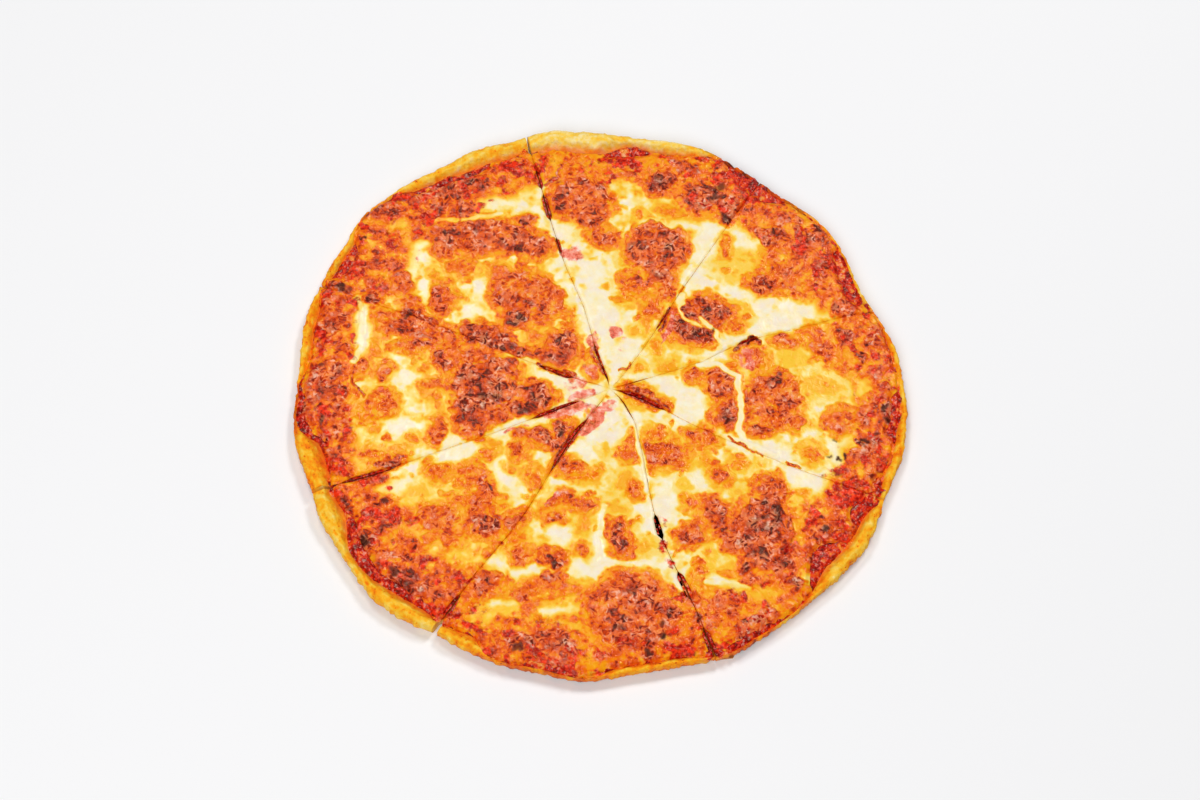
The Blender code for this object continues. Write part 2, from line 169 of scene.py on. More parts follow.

# %% [markdown]
# ## Where the pizza browned
# The photograph shows how this pizza baked, and these tables say it in the maker's words: each
# browned patch, pool of white cheese, smear of tomato and burnt spot is an ellipse placed on the
# top, in millimetres from the middle. Their outlines are torn up by noise further below.
# Slice 1 points away to the right, and the others follow it against the clock.

# %% Browned patches of slices 1 and 2
# Each one is x, y, half length, half width, turn in degrees, how dark
BROWNED = [
    # slice 1
    (80, 98, 9, 8, 0, .80), (80, 98, 4, 4, 0, .95), (85, 108, 6, 6, 0, .72), (93, 106, 4, 5, 0, .80),
    (95, 97, 5, 5, 0, .66), (103, 98, 7, 6, -40, .80), (105, 103, 5, 1.5, -40, 1.0),
    (97, 85, 10, 9, 0, .60), (88, 85, 12, 10, 0, .60), (88, 72, 12, 9, 0, .64), (75, 68, 8, 7, 0, .74),
    (83, 62, 4, 4, 0, .50), (92, 65, 5, 4, 0, .58), (57, 89, 3.5, 7, 0, .56), (47, 51, 12, 9, 0, .88),
    (55, 48, 7, 8, 0, .86), (41, 38, 14, 7, -18, .93), (63, 43, 5, 3, -20, .60),
    (108, 86, 5, 5, 0, .90), (118, 58, 7, 5, 0, .84), (105, 72, 10, 9, 0, .60), (69, 47, 3, 3, 0, .50),
    (64, 53, 4, 3, 0, .46), (58, 112, 5, 9, -15, .92), (63, 78, 12, 12, 0, .27), (75, 84, 6, 8, 0, .36),
    (115, 66, 8, 10, 0, .55), (70, 108, 8, 9, 0, .50), (97, 72, 6, 6, 0, .55),
    # slice 2
    (-18, 110, 17, 14, 0, .74), (-12, 97, 8, 3, 8, .92), (-5, 88, 8, 6, 0, .68),
    (22, 125, 9, 8, 0, .93), (34, 135, 8, 4.5, -15, .88), (45, 142, 5, 3, -10, .78),
    (45, 117, 12, 9, 0, .93), (7, 128, 6, 3, 0, .80), (-24, 128, 9, 4, -20, .55),
    (22, 84, 16, 16, 0, .73), (28, 83, 3.5, 9, -12, .96), (14, 85, 6, 5, 0, .84),
    (20, 97, 8, 3, 0, .84), (33, 95, 6, 4, 0, .55), (25, 68, 8, 6, 0, .84), (12, 63, 7, 6, 0, .70),
    (28, 60, 5, 6, 0, .72), (12, 103, 3.5, 3.5, 0, .48), (30, 107, 9, 3.5, 0, .50),
    (22, 50, 5, 7, 0, .60), (7, 53, 7, 3, 0, .47), (-3, 60, 3, 3, 0, .40), (14, 36, 3, 4, -20, .38),
    (17, 14, 4, 3.5, 40, .44), (25, 27, 3, 6, 0, .42), (31, 17, 6, 4, 10, .42), (20, 38, 2, 4, 0, .46),
    (33, 34, 3, 6, 0, .5), (45, 105, 8, 3, -10, .42), (60, 122, 6, 6, 0, .66), (5, 77, 3, 4, 0, .32),
    (42, 32, 8, 5, 0, .50),
]
print("browned patches:", len(BROWNED))

# %% [markdown]
# A patch is seldom one plain ellipse. A wide pale one carries its tone, and small dark ones lie on
# it where a blister went furthest. Many of the darkest on these two slices lie close to the rim.

# %% Browned patches of slices 3 and 4
BROWNED += [
    # slice 3
    (-84, 110, 25, 6.5, 20, .80), (-102, 102, 3, 3, 0, .95), (-93, 100, 3, 3, 0, .90),
    (-75, 115, 4, 2.5, 20, .95), (-79, 101, 2, 7, 0, .92), (-77, 97, 5, 6, 0, .70),
    (-66, 84, 27, 11, 5, .76), (-86, 78, 6, 9, 0, .80), (-54, 79, 7, 2.5, -8, .96),
    (-45, 95, 4, 3, 0, .92), (-46, 77, 4, 3, 0, .93), (-40, 80, 10, 8, 0, .76), (-75, 65, 9, 7, 0, .54),
    (-88, 60, 4, 3, 0, .48), (-55, 62, 6, 7, 0, .58), (-40, 50, 20, 15, -12, .68),
    (-45, 37, 8, 5, 0, .93), (-32, 42, 5, 5, 0, .78), (-25, 45, 5, 5, 0, .58), (-104, 53, 7, 9, 0, .68),
    (-83, 46, 7, 9, 0, .64), (-72, 46, 3, 3, 0, .38), (-103, 84, 4, 5, 0, .46),
    (-112, 73, 4, 5, 0, .46), (-117, 94, 9, 8, 30, .78), (-127, 92, 3, 3, 0, .95),
    (-120, 78, 10, 9, 0, .42), (-132, 47, 6, 3.5, -10, .98), (-139, 50, 4, 3, 0, .98),
    (-117, 42, 5, 4, 0, .96), (-60, 26, 14, 7, -15, .86), (-56, 22, 7, 3, -15, 1.0),
    (-44, 19, 12, 4, -18, .88), (-21, 21, 9, 10, 0, .74), (-18, 28, 5, 8, 0, .70),
    (-29, 18, 7, 5, 0, .82), (-34, 27, 7, 5, 0, .50), (-98, 36, 6, 4, 0, .84),
    # The narrow dark ellipse at (-90, 33) is painted shadow in the gap of the knife cut there.
    (-90, 33, 9, 2.2, -14, .95), (-115, 50, 8, 8, 0, .52), (-5, 9, 4, 4, 0, .55),
    (-7, 18, 3, 4, 0, .50), (-133, 62, 6, 8, 0, .62), (-98, 42, 6, 6, 0, .62),
    # slice 4
    (-136, 31, 9, 13, 0, .74), (-134, -2, 9, 8, 0, .80), (-131, -13, 10, 7, 0, .84),
    (-145, -25, 3, 11, 0, .95), (-128, -30, 6, 10, -15, .80), (-130, -47, 9, 5, -20, .85),
    (-107, 0, 5, 5, 0, .62), (-89, 6, 4, 4, 0, .48), (-120, 3, 4.5, 8, -20, .62),
    (-107, -17, 9, 10, 0, .58), (-82, -4, 7, 5, 10, .62), (-80, -14, 2.5, 4, 0, .46),
    (-77, -28, 5.5, 8.5, 0, .60), (-90, -34, 3.5, 3.5, 0, .46), (-95, -40, 6, 3, 15, .42),
    (-108, -44, 7, 4, 0, .55), (-100, -48, 8, 3, 20, .86), (-95, 17, 11, 3.5, 8, .66),
    (-92, 28, 18, 6.5, -10, .78), (-110, 30, 6, 8, 0, .62), (-57, -3, 17, 15, 0, .86),
    (-50, 8, 9, 9, 0, .86), (-34, -5, 11, 7, 0, .84), (-38, -12, 9, 4, 0, .93),
    (-61, -22, 8, 9, 0, .80), (-112, 13, 4, 6, 0, .48), (-76, 12, 7, 7, -30, .76),
    (-80, 22, 8, 5, 0, .66), (-38, 6, 3, 3, 0, .40), (-65, 14, 8, 6, 0, .72), (-49, -18, 6, 5, 0, .82),
    (-90, 5, 8, 4, 0, .30), (-112, 20, 4, 10, 0, .40), (-108, -30, 5, 4, 0, .42),
    (-118, -24, 7, 4, 0, .46), (-127, 12, 5, 5, 0, .70), (-67, -12, 6, 5, 0, .90),
    (-88, -23, 4, 2, 0, .30), (-140, -12, 6, 8, 0, .78),
]
print("browned patches:", len(BROWNED))

# %% [markdown]
# On slice 6 one round browned all over: a large ellipse carries it, and smaller ones lie on it
# where it blistered darker.

# %% Browned patches of slices 5 and 6
BROWNED += [
    # slice 5
    (-18, -23, 5, 6, 0, .92), (-31, -27, 9, 4, -8, .84), (-38, -36, 4, 4, 0, .66),
    (-22, -31, 6, 3, -20, .76), (-52, -37, 5, 4, 0, .56), (-75, -50, 6, 5, 0, .60),
    (-60, -51, 7, 6, 0, .66), (-54, -65, 6, 14, 0, .70), (-72, -75, 12, 8, 10, .62),
    (-50, -78, 8, 6, 0, .80), (-66, -85, 6, 6, 0, .55), (-75, -86, 7, 4, 0, .58),
    (-86, -89, 5, 3.5, 0, .58), (-93, -80, 4, 3, 0, .46), (-40, -46, 3, 3, 0, .50),
    (-29, -50, 4, 7, 30, .56), (-36, -73, 6, 4, 40, .84), (-106, -89, 7, 7, 0, .80),
    (-106, -89, 3, 3, 0, 1.15), (-98, -69, 4, 3, 0, 1.0), (-117, -77, 5, 9, 0, .66),
    (-90, -104, 4, 4, 0, .98), (-83, -112, 8, 5, -10, .90), (-66, -113, 5, 4, 0, .60),
    (-71, -101, 8, 5, 0, .52), (-60, -103, 4, 4, 0, .56), (-75, -112, 6, 3, -20, .80),
    (-100, -84, 3, 9, -20, .88), (-60, -64, 8, 5, 0, .55), (-45, -64, 5, 6, 0, .36),
    (-84, -62, 8, 5, 0, .33), (-108, -72, 5, 6, 0, .60), (-43, -88, 5, 4, 0, .48),
    (-95, -98, 6, 4, 0, .74),
    # slice 6
    (-12, -43, 9, 5.5, 0, .66), (-2, -46, 5, 4, 0, .50), (15, -31, 4.5, 8, -15, .60),
    (20, -53, 3, 4, 0, .62), (-17, -61, 8, 3, 32, .66), (-19, -70, 6, 3.5, 25, .64),
    (-5, -62, 8, 4, 0, .56), (-4, -86, 4, 3, 0, .54), (14, -79, 5, 10, 18, .84),
    (26, -82, 5, 5, 0, .36), (-32, -91, 6, 6, 0, .66), (-35, -81, 5, 6, 0, .48),
    (-16, -92, 6, 6, -20, .80), (-17, -101, 6, 4, 0, .84), (-48, -106, 8, 8, 0, .72),
    (-31, -111, 8, 5, -10, .66), (-18, -107, 12, 7, 0, .56), (22, -116, 22, 21, 0, .70),
    (22, -104, 8, 5, 0, .84), (40, -115, 7, 5, -10, .90), (22, -126, 12, 9, 0, .82),
    (16, -120, 8, 3, 10, .90), (31, -134, 6, 5, 0, .84), (53, -117, 3, 5, 20, .95),
    (-43, -134, 8, 4, -15, .74), (-28, -135, 8, 5, -5, .86), (-12, -133, 12, 6, -15, .80),
    (-7, -121, 7, 2, 0, .55), (7, -138, 5, 4, 0, .66), (-5, -73, 5, 8, 0, .40), (11, -62, 5, 5, 0, .36),
    (14, -48, 6, 6, 0, .38), (0, -108, 8, 5, 0, .48), (-3, -124, 10, 8, 0, .33),
    (-36, -122, 10, 7, 0, .30), (4, -32, 3, 5, 0, .33), (24, -140, 12, 4, 10, .40),
    (-27, -118, 5, 6, 0, .56), (-20, -141, 20, 5, -5, .62), (8, -113, 4, 4, 0, .62),
]
print("browned patches:", len(BROWNED))

# %% [markdown]
# A large browned round lies on each of the last two slices. The narrow ellipses on it stand for
# the dark ridges between blisters.

# %% Browned patches of slices 7 and 8
BROWNED += [
    # slice 7
    (33, -33, 11, 8, 0, .66), (28, -22, 7, 5, 0, .52), (24, -30, 4, 6, 0, .66),
    (50, -21, 9, 5, -8, .64), (17, -6, 3, 3, 0, .46), (44, -30, 5, 8, 0, .45), (46, -57, 4, 4, 0, .58),
    (60, -42, 5, 5.5, 0, .62), (68, -34, 4, 3, 0, .50), (48, -75, 8, 6, 0, .84),
    (58, -61, 7, 9, 0, .70), (79, -33, 3, 3, 0, .38), (69, -48, 3, 3, 0, .36), (53, -35, 3, 3, 0, .46),
    (81, -68, 16, 17, 0, .84), (82, -63, 8, 8, 0, 1.0), (85, -84, 11, 8, 0, .84),
    (78, -95, 8, 3, 0, .66), (66, -73, 6, 8, 0, .72), (85, -47, 9, 8, 0, .74), (75, -88, 4, 4, 0, .90),
    (105, -60, 6, 6, 0, .56), (111, -65, 8, 7, 0, .64), (111, -65, 3, 2.6, 0, 1.05),
    (97, -94, 5, 4, 0, .86), (65, -108, 9, 8, 0, .68), (60, -116, 6, 6, 0, .70),
    (85, -112, 7, 6, 0, .74), (80, -115, 7, 1.8, 15, .95), (88, -111, 4, 4, 0, .88),
    (74, -120, 10, 6, 20, .70), (66, -92, 6, 3.5, 0, .46), (92, -104, 5, 4, 0, .45),
    (100, -48, 6, 4, 0, .40), (57, -88, 5, 8, 0, .30), (53, -96, 4, 6, 0, .60), (97, -84, 5, 8, 0, .62),
    (110, -82, 9, 8, 0, .85), (108, -75, 6, 4, 0, .66), (50, -108, 4, 6, 0, .70),
    (95, -60, 4, 7, 0, .40), (43, -47, 5, 3, 0, .30),
    # slice 8
    (21, 0, 11, 4.5, -22, .74), (58, 9, 10, 8, -30, .78), (62, -8, 7, 10, 0, .80),
    (44, 14, 3.5, 6, -30, .62), (84, 2, 13, 17, 0, .64), (84, 13, 4, 6, -30, .94),
    (88, 0, 3.5, 6, 0, .80), (82, -4, 3, 4, 0, .88), (78, -15, 8, 3, 0, .88), (72, 0, 2, 8, 0, .78),
    (74, 25, 6, 7, 0, .60), (65, 26, 4, 3, 0, .46), (88, 37, 7, 4, 10, .66), (104, 32, 6, 4, -45, .70),
    (118, 42, 5, 6, 0, .85), (133, 42, 7, 8, 0, .72), (119, 24, 5, 4, 0, .60), (134, 22, 5, 5, 0, .74),
    (137, 14, 5, 4, 0, .84), (140, 0, 4.5, 7, 0, .98), (132, 6, 5, 6, 0, .62), (117, -7, 8, 7, 0, .66),
    (117, -8, 4, 4, 0, .78), (129, -3, 6, 8, 0, .68), (103, -25, 6, 5.5, 0, .50),
    (104, -25, 3, 3, 0, .60), (127, -25, 6, 6, 0, .80), (134, -36, 4, 4, 0, .84),
    (127, 31, 3, 4, 0, .86), (95, -8, 6, 7, 0, .56), (120, 36, 18, 14, 0, .46), (92, 28, 10, 8, 0, .30),
    (108, 12, 12, 7, 0, .34), (133, -25, 6, 14, 0, .70), (108, 38, 8, 7, 0, .62),
    (85, 10, 13, 8, 0, .66), (100, 43, 8, 4, 0, .48), (62, 20, 5, 3, 0, .5), (130, -60, 5, 5, 0, .5),
]
print("browned patches:", len(BROWNED))

# %% [markdown]
# Where the cheese ran thin the tomato shows through it, mostly in a belt inside the rim, and here
# and there a bit of sausage lies bare and pink. Both are only a film there, with no thickness of
# their own, so they are told as stains of the top and not made as pieces.

# %% Tomato and bare sausage
# Same columns as the browned patches
TOMATO = [
    (68, 122, 9, 10, -20, .9), (113, 84, 8, 5, -55, .9), (118, 72, 8, 4.5, -72, .9),
    (122, 63, 7, 4.5, -65, .8), (62, 130, 11, 6, -15, .9), (50, 128, 5, 4, 0, .7),
    (0, 136, 11, 6, 0, .95), (10, 132, 3, 4, 0, .9), (-40, 131, 4.5, 7, 10, .9),
    (-130, 57, 9, 7, 40, .7), (-55, 127, 10, 4.5, 15, .95), (-75, 121, 13, 3.4, 25, .95),
    (-94, 109, 10, 3.2, 45, .9), (-139, 12, 1.6, 6, 0, .8), (-125, 9, 2, 3, 0, .7),
    (-125, -52, 9, 5, -20, .8), (-131, -33, 2, 8, 15, .7), (-140, -14, 4, 9, 0, .5),
    (-115, -90, 6, 13, -15, .8), (-105, -103, 9, 5, -30, .85), (-100, -84, 4, 10, -8, .55),
    (-58, -123, 2, 2, 0, .9), (47, -132, 9, 4, 8, .95), (44, -106, 4, 3, 0, .7),
    (-15, -125, 5, 4, 0, .6), (-20, -143, 10, 3, 0, .8), (-12, -147, 6, 2, 0, .8),
    (-50, -129, 7, 3, -25, .85), (8, -138, 2.5, 3, 0, .9), (36, -84, 3.5, 8, 20, .6),
    (121, -46, 9, 8, -20, .95), (129, -52, 4, 9, -25, .9), (118, -62, 6, 5, 0, .8),
    (110, -83, 8, 8, 0, .8), (66, -128, 6, 2.5, 10, .85), (72, -122, 6, 4, 0, .4),
    (133, 44, 6, 5, 0, .6), (134, 23, 6, 5, 0, .5), (142, 3, 5, 6, 0, .7), (137, -24, 4, 8, 0, .7),
    (128, -28, 5, 5, 0, .6), (117, -36, 8, 4, 0, .7), (135, 8, 5, 6, 0, .5), (33, -70, 2.5, 6, 20, .5),
    (-142, -24, 4, 10, 0, .5), (-133, -6, 4, 5, 0, .3), (128, 47, 6, 4, 0, .5),
]
BARE_SAUSAGE = [
    (-20, 77, 6, 4.5, 0, .9), (5, 34, 3.5, 4, 0, 1.0), (8, 27, 2, 5, -25, .6),
    (-17, -12, 12, 4, 27, .95), (-4, -17, 4.5, 10, -28, .95), (4, -8, 3, 5, 0, .9),
    (30, 39, 1.6, 11, -18, 1.0), (-6, 27, 2.5, 6, 25, .8), (-14, 3, 6, 4, 0, .7),
    (-10, -3, 7, 2.5, 25, .8), (-6, 13, 4, 4, 0, .7), (-18, -60, 6, 1.6, 38, .7), (70, 23, 4, 6, 0, .8),
    (-63, -30, 9, 1.6, 20, .6), (-39, -24, 8, 1.6, 24, .6), (-6, -10, 5, 3, 30, .5),
]
print("smears of tomato:", len(TOMATO), "and bare sausage:", len(BARE_SAUSAGE))

# %% [markdown]
# The cheese that melted last stayed white. It lies in pools between the rounds and in strands that
# run over them. A strand is a bent line with a width, which is easier to place than a row
# of ellipses.

# %% White pools and strands
# Pools: x, y, half length, half width, turn, strength
WHITE_POOLS = [
    (48, 95, 7, 11, -10, 1.0), (28, 99, 17, 3, 0, .9), (-3, 45, 9, 22, 12, 1.0),
    (-9, 66, 5, 10, 20, .9), (-25, 93, 6, 3, 0, .9), (66, 62, 9, 3, -25, .9), (85, 57, 12, 4, 0, .9),
    (70, 91, 8, 3, 0, .9), (85, 47, 14, 7, 12, 1.0), (75, 40, 4, 5, 0, .8), (63, 97, 4, 3, 0, .8),
    (105, 72, 4.5, 4.5, 0, .9), (-75, 65, 4, 3, 0, .8), (-63, 104, 7, 3, 10, .8),
    (-98, 66, 5, 14, -10, .9), (-93, 48, 3.5, 8, 5, .9), (-68, 38, 6, 5, 0, .9),
    (-22, 55, 7, 9, 30, .9), (-12, 40, 4, 9, 15, .8), (-120, 25, 3.5, 14, 8, 1.0),
    (-95, 0, 7, 4, 0, .9), (-95, -28, 12, 5, 10, .9), (-72, -33, 4, 10, 25, .9),
    (-75, -10, 3, 3, 0, .5), (-24, 5, 8, 4, -20, .8), (-40, 14, 10, 2.5, -20, .8),
    (-95, -60, 10, 3, 20, .9), (-66, -40, 12, 3, 25, .9), (-45, -24, 14, 2, 28, .9),
    (-41, -55, 5, 8, 0, .6), (-28, -20, 8, 2.5, 10, .7), (-110, -5, 5, 2, 0, .5), (5, -25, 8, 8, 0, .9),
    (-6, -35, 5, 8, 0, .8), (-22, -56, 5, 8, 0, .4), (4, -84, 4, 9, 5, .8), (0, -94, 8, 2.5, 0, .8),
    (-27, -99, 10, 2.5, 12, .9), (-14, -78, 7, 4, -20, .9), (-43, -97, 3, 6, 25, .8),
    (28, -92, 8, 3, 0, .7), (25, -66, 3, 8, 10, .7), (-38, -117, 7, 3, 0, .8), (-44, -124, 4, 3, 0, .8),
    (-16, -117, 7, 2, 10, .8), (34, -57, 6, 10, 0, 1.0), (33, -46, 4, 6, 0, .6), (48, -45, 7, 4, 0, .8),
    (68, -22, 12, 3, -22, .9), (102, -42, 9, 6, 0, .9), (95, -37, 5, 5, 0, .6),
    (94, -66, 3.5, 5, 0, .8), (67, -97, 10, 2.5, -8, .9), (103, -92, 4, 2.5, 0, .7),
    (80, -101, 10, 2.5, 0, .5), (57, -80, 4, 4, 0, .6), (44, -6, 7, 9, 0, 1.0), (33, 5, 7, 6, 0, .9),
    (22, 9, 10, 3, -10, .9), (96, 30, 6, 3, 0, .8), (122, -18, 6, 5, 0, .7), (116, -27, 3, 5, 0, .9),
    (128, 14, 3, 5, 0, .6), (92, -27, 8, 3, -10, .9), (105, -14, 5, 4, 0, .6), (48, 18, 5, 3, 30, .6),
    (100, 12, 4, 8, 0, .4), (57, 30, 3, 5, 0, .7), (10, 22, 8, 7, 0, .7), (14, 28, 5, 4, 0, .6),
    (38, 73, 3, 6, 0, .4), (38, 62, 2.5, 8, -20, .5), (-108, 87, 4, 3, 0, .6), (12, -17, 5, 3, 0, .7),
]

# Strands: points, half width, strength
WHITE_STRANDS = [
    ([(46, 19), (55, 20), (66, 14), (68, 0), (69, -8), (67, -16), (72, -22), (86, -28)], 1.4, .95),
    ([(18, -17), (20, -30), (23, -38), (25, -52)], 1.2, .9),
    ([(5, -62), (4, -76), (6, -90), (20, -92)], 1.2, .7),
    ([(56, -97), (68, -97), (76, -99)], 1.0, .8),
    ([(40, 76), (37, 68), (34, 60)], 1.0, .7),
    ([(34, 60), (36, 55), (35, 50), (38, 45), (43, 42), (47, 40)], .8, .85),
    ([(46, 45), (50, 42), (54, 39), (55, 35), (58, 31)], 1.1, .9),
    ([(58, 31), (63, 34), (69, 37)], 1.0, .8),
    ([(58, 31), (55, 26), (51, 21)], 1.5, .9),
    ([(36, 57), (36, 54)], 2.2, .9),
    ([(-92, 91), (-80, 92), (-58, 98)], 1.0, .7),
    ([(-125, 42), (-121, 34), (-120, 14), (-122, 6)], 1.6, .8),
]
print("white pools:", len(WHITE_POOLS), "and strands:", len(WHITE_STRANDS))

# %% [markdown]
# The skin of the cheese folds as it sinks, and the folds brown first, in thin dark lines. Charred
# spots are small and nearly round, so each one is a place, a radius and a strength.

# %% Creases and charred spots
# Creases: points, half width, how dark
CREASES = [
    ([(-37, 117), (-31, 123), (-29, 130)], .5, .95),
    ([(-136, -20), (-133, -30), (-131, -38)], .9, 1.1),
    ([(13, 18), (11, 13), (8, 11)], .5, .8),
    ([(66, 30), (70, 33), (75, 35)], 1.4, .98),
    ([(62, -20), (70, -24), (80, -28)], .4, .8),
    ([(92, -31), (98, -34)], .4, .8),
    ([(96, -76), (99, -81)], .5, .85),
    ([(-92, -98), (-85, -96)], .4, .9),
    ([(32, 50), (28, 43), (25, 36)], .7, .95),
    ([(-32, 12), (-24, 9), (-15, 7)], 1.0, .95),
    ([(-6, 24), (-3, 18), (0, 10)], .7, .95),
    ([(12, 4), (20, 3), (28, -3), (33, -8)], .8, .85),
    ([(-12, -22), (-16, -33), (-20, -44)], .6, .85),
    ([(53, 40), (54, 38)], 1.0, 1.0),
    ([(-123, 3), (-121, -6), (-116, -12)], .5, .8),
    ([(122, 36), (126, 31), (127, 27)], .9, .95),
    ([(125, -17), (128, -20)], 1.2, 1.1),
]

# Charred spots: x, y, radius, strength
BURNT_SPOTS = [
    (30, -134, 1.6, .9), (37, -128, 2.2, 1.0), (37, -122, 1.4, .8), (-30, -138, 2.6, .8),
    (-138, 2, 1.6, .7), (111, -65, 2.0, .9), (-106, -89, 2.6, .95), (116, -28, .7, 1.0),
    (120, -26, .7, 1.0), (112.5, -28, .6, .9), (113, -17, .6, .9), (129, -17, 1.8, .95),
    (139, 3, 2.2, .85), (141, -3, 1.8, .8), (53.5, 38, 1.2, .8), (-133, 47, 2.4, .8),
    (-98, 34, 2.0, .9), (52, 118, 2.2, .8), (55, 107, 2, .7), (53, 125, 2.5, .8), (-148.5, 22, 1.0, .9),
    (113, -84, 2, .8), (105, -86, 1.6, .8), (80, 98, 1.5, .5), (-124.5, 78, .6, 1.0), (-127, 92, 2, .7),
    (-18, -24, 1.6, .7), (52, -133, 1.3, .6), (88, -57, 2.0, .7), (82, -62, 2.0, .6),
    (-43, 150, 1.5, .7), (140, 53, 1.0, .6), (-98, -69, 2.4, .7), (-90, -104, 2.2, .7),
    (66, -70, 1.0, .3), (133, -35, 1.6, .5), (116, -36, 2, .5), (72, 34, 2.2, .6),
]
print("creases:", len(CREASES), "and charred spots:", len(BURNT_SPOTS))

# %% [markdown]
# Between the patches the cheese melted golden in wide, soft fields. Just inside the rim the food
# is baked harder and stained by the sauce. That belt follows the rim, so it is told by direction.

# %% Golden fields and the edge band
# Golden fields: same columns as the browned patches
GOLDEN = [
    (92, 84, 26, 27, 0, .46), (66, 110, 9, 9, 0, .50), (62, 80, 10, 15, 0, .32),
    (5, 118, 22, 7, 0, .36), (0, 103, 10, 6, 0, .34), (30, 112, 14, 6, 0, .42),
    (-22, 127, 15, 6, -15, .50), (20, 139, 30, 6, 0, .46), (10, 50, 15, 10, 0, .27),
    (-110, 85, 14, 17, 40, .42), (-116, 64, 13, 13, 0, .46), (-85, 64, 20, 9, 0, .30),
    (-65, 97, 26, 6, 5, .33), (-100, 50, 11, 12, 0, .42), (-45, 68, 20, 6, 0, .35),
    (-30, 25, 17, 9, -10, .42), (-126, 10, 9, 24, 0, .50), (-115, -16, 12, 18, 0, .40),
    (-105, -38, 16, 8, 0, .36), (-88, -15, 14, 12, 0, .24), (-80, 11, 14, 9, -20, .42),
    (-85, -76, 24, 17, 30, .42), (-60, -90, 18, 16, 0, .44), (-45, -64, 13, 18, 30, .36),
    (-70, -54, 18, 8, 20, .36), (-99, -92, 12, 15, -30, .55), (-20, -75, 15, 26, 15, .36),
    (-25, -110, 22, 9, 0, .50), (0, -122, 16, 13, 0, .38), (6, -56, 14, 12, 0, .34),
    (15, -140, 32, 6, 5, .45), (-18, -138, 34, 8, 0, .58), (35, -28, 22, 12, -15, .42),
    (70, -38, 15, 8, -20, .30), (84, -84, 26, 14, -20, .38), (112, -56, 13, 14, 0, .42),
    (70, -115, 19, 12, 25, .56), (100, -94, 13, 10, -35, .46), (84, 5, 21, 25, 0, .42),
    (120, 32, 22, 17, 0, .50), (110, 10, 17, 13, 0, .31), (112, -8, 14, 12, 0, .42),
    (131, -14, 9, 25, 0, .56), (58, 5, 15, 18, 0, .38), (-84, 108, 30, 10, 22, .56),
    (45, 125, 22, 12, -15, .55), (45, 45, 16, 14, 0, .42),
]

# Edge band: direction, half width in degrees, inner radius, strength
EDGE_BAND = [
    (95, 20, 122, .60), (65, 14, 118, .75), (38, 12, 120, .85), (15, 12, 122, .7), (-8, 14, 122, .8),
    (-30, 12, 116, .85), (-50, 10, 118, .7), (-75, 14, 124, .7), (-100, 12, 124, .8),
    (-125, 12, 116, .9), (-145, 10, 112, .85), (-165, 12, 122, .8), (-190, 12, 124, .8),
    (-208, 10, 118, .8), (-228, 12, 120, .85), (-245, 8, 122, .7),
]
print("golden fields:", len(GOLDEN), "and parts of the band:", len(EDGE_BAND))

# %% [markdown]
# The rim baked unevenly too. It is pale at the far side, darkest just to the right of that, and
# charred in a few places. The pale far side is also painted light, made paler to offset the shade
# on its inner slope. A real rim changes slowly as one walks round it, so directions with a
# width are enough, and the tones between them are blended.

# %% Tones of the rim
# Direction, half width in degrees, 0 pale to 1 dark
RIM_TONE_AND_LIGHT = [
    # The far-side tones at 100 and 82 degrees are partly painted light, made paler to offset shade.
    (100, 9, .17), (82, 8, .19), (118, 9, .36), (135, 8, .38), (155, 8, .46), (172, 9, .50),
    (188, 6, .66), (201, 7, .52), (213, 6, .42), (222, 5, .40), (236, 8, .46), (250, 6, .52),
    (264, 9, .72), (285, 10, .52), (302, 6, .68), (315, 6, .50), (329, 9, .42), (346, 7, .50),
    (358, 7, .54), (12, 9, .50), (30, 8, .48), (45, 8, .50), (62, 8, .82),
]

# Burnt edges: direction, half width in degrees, strength
BURNT_RIM = [
    (64, 6, .95), (72, 3, .6), (52, 4, .5), (108, 1.5, .7), (160, 3, .5), (190, 4, .5), (262, 3, .35),
]
print("tones:", len(RIM_TONE_AND_LIGHT), "and burnt edges:", len(BURNT_RIM))

# %% [markdown]
# ## Measuring the solids
# Each solid lies flat on the one below it, so its outline can be read from its flat face: those
# edges of the face that only one triangle uses are the outline. The outline has the corners of a
# faceted solid, so it is walked in small equal steps and softened over a millimetre.

# %% Outlines from the flat faces
FLAT_WITHIN = 0.02
EDGE_STEP = 0.6
CORNER_SOFTNESS = 0.9


def solid_mesh(node):
    """Corners in millimetres and triangles of a solid, with its doubled corners made one."""
    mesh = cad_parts[node].data
    corners = np.array([vertex.co[:] for vertex in mesh.vertices]) / MM
    mesh.calc_loop_triangles()
    triangles = np.array([triangle.vertices[:] for triangle in mesh.loop_triangles])
    single, place = np.unique(np.round(corners, 3), axis=0, return_inverse=True)
    return single, place.ravel()[triangles]


def flat_outline(node):
    """Outline of the lowest flat face of a solid, against the clock."""
    corners, triangles = solid_mesh(node)
    heights = corners[triangles][:, :, 2]
    flat = triangles[np.all(heights < corners[:, 2].min() + FLAT_WITHIN, axis=1)]
    pairs = {(t[k], t[(k + 1) % 3]) for t in flat.tolist() for k in range(3)}
    following = {a: b for a, b in pairs if (b, a) not in pairs}
    longest = []
    while following:
        first, step = following.popitem()
        walk = [first]
        while step in following:
            walk.append(step)
            step = following.pop(step)
        longest = max(longest, walk, key=len)
    outline = corners[longest][:, :2]
    ahead = np.roll(outline, -1, axis=0)
    area = np.sum(outline[:, 0] * ahead[:, 1] - outline[:, 1] * ahead[:, 0])
    return outline if area > 0 else outline[::-1]


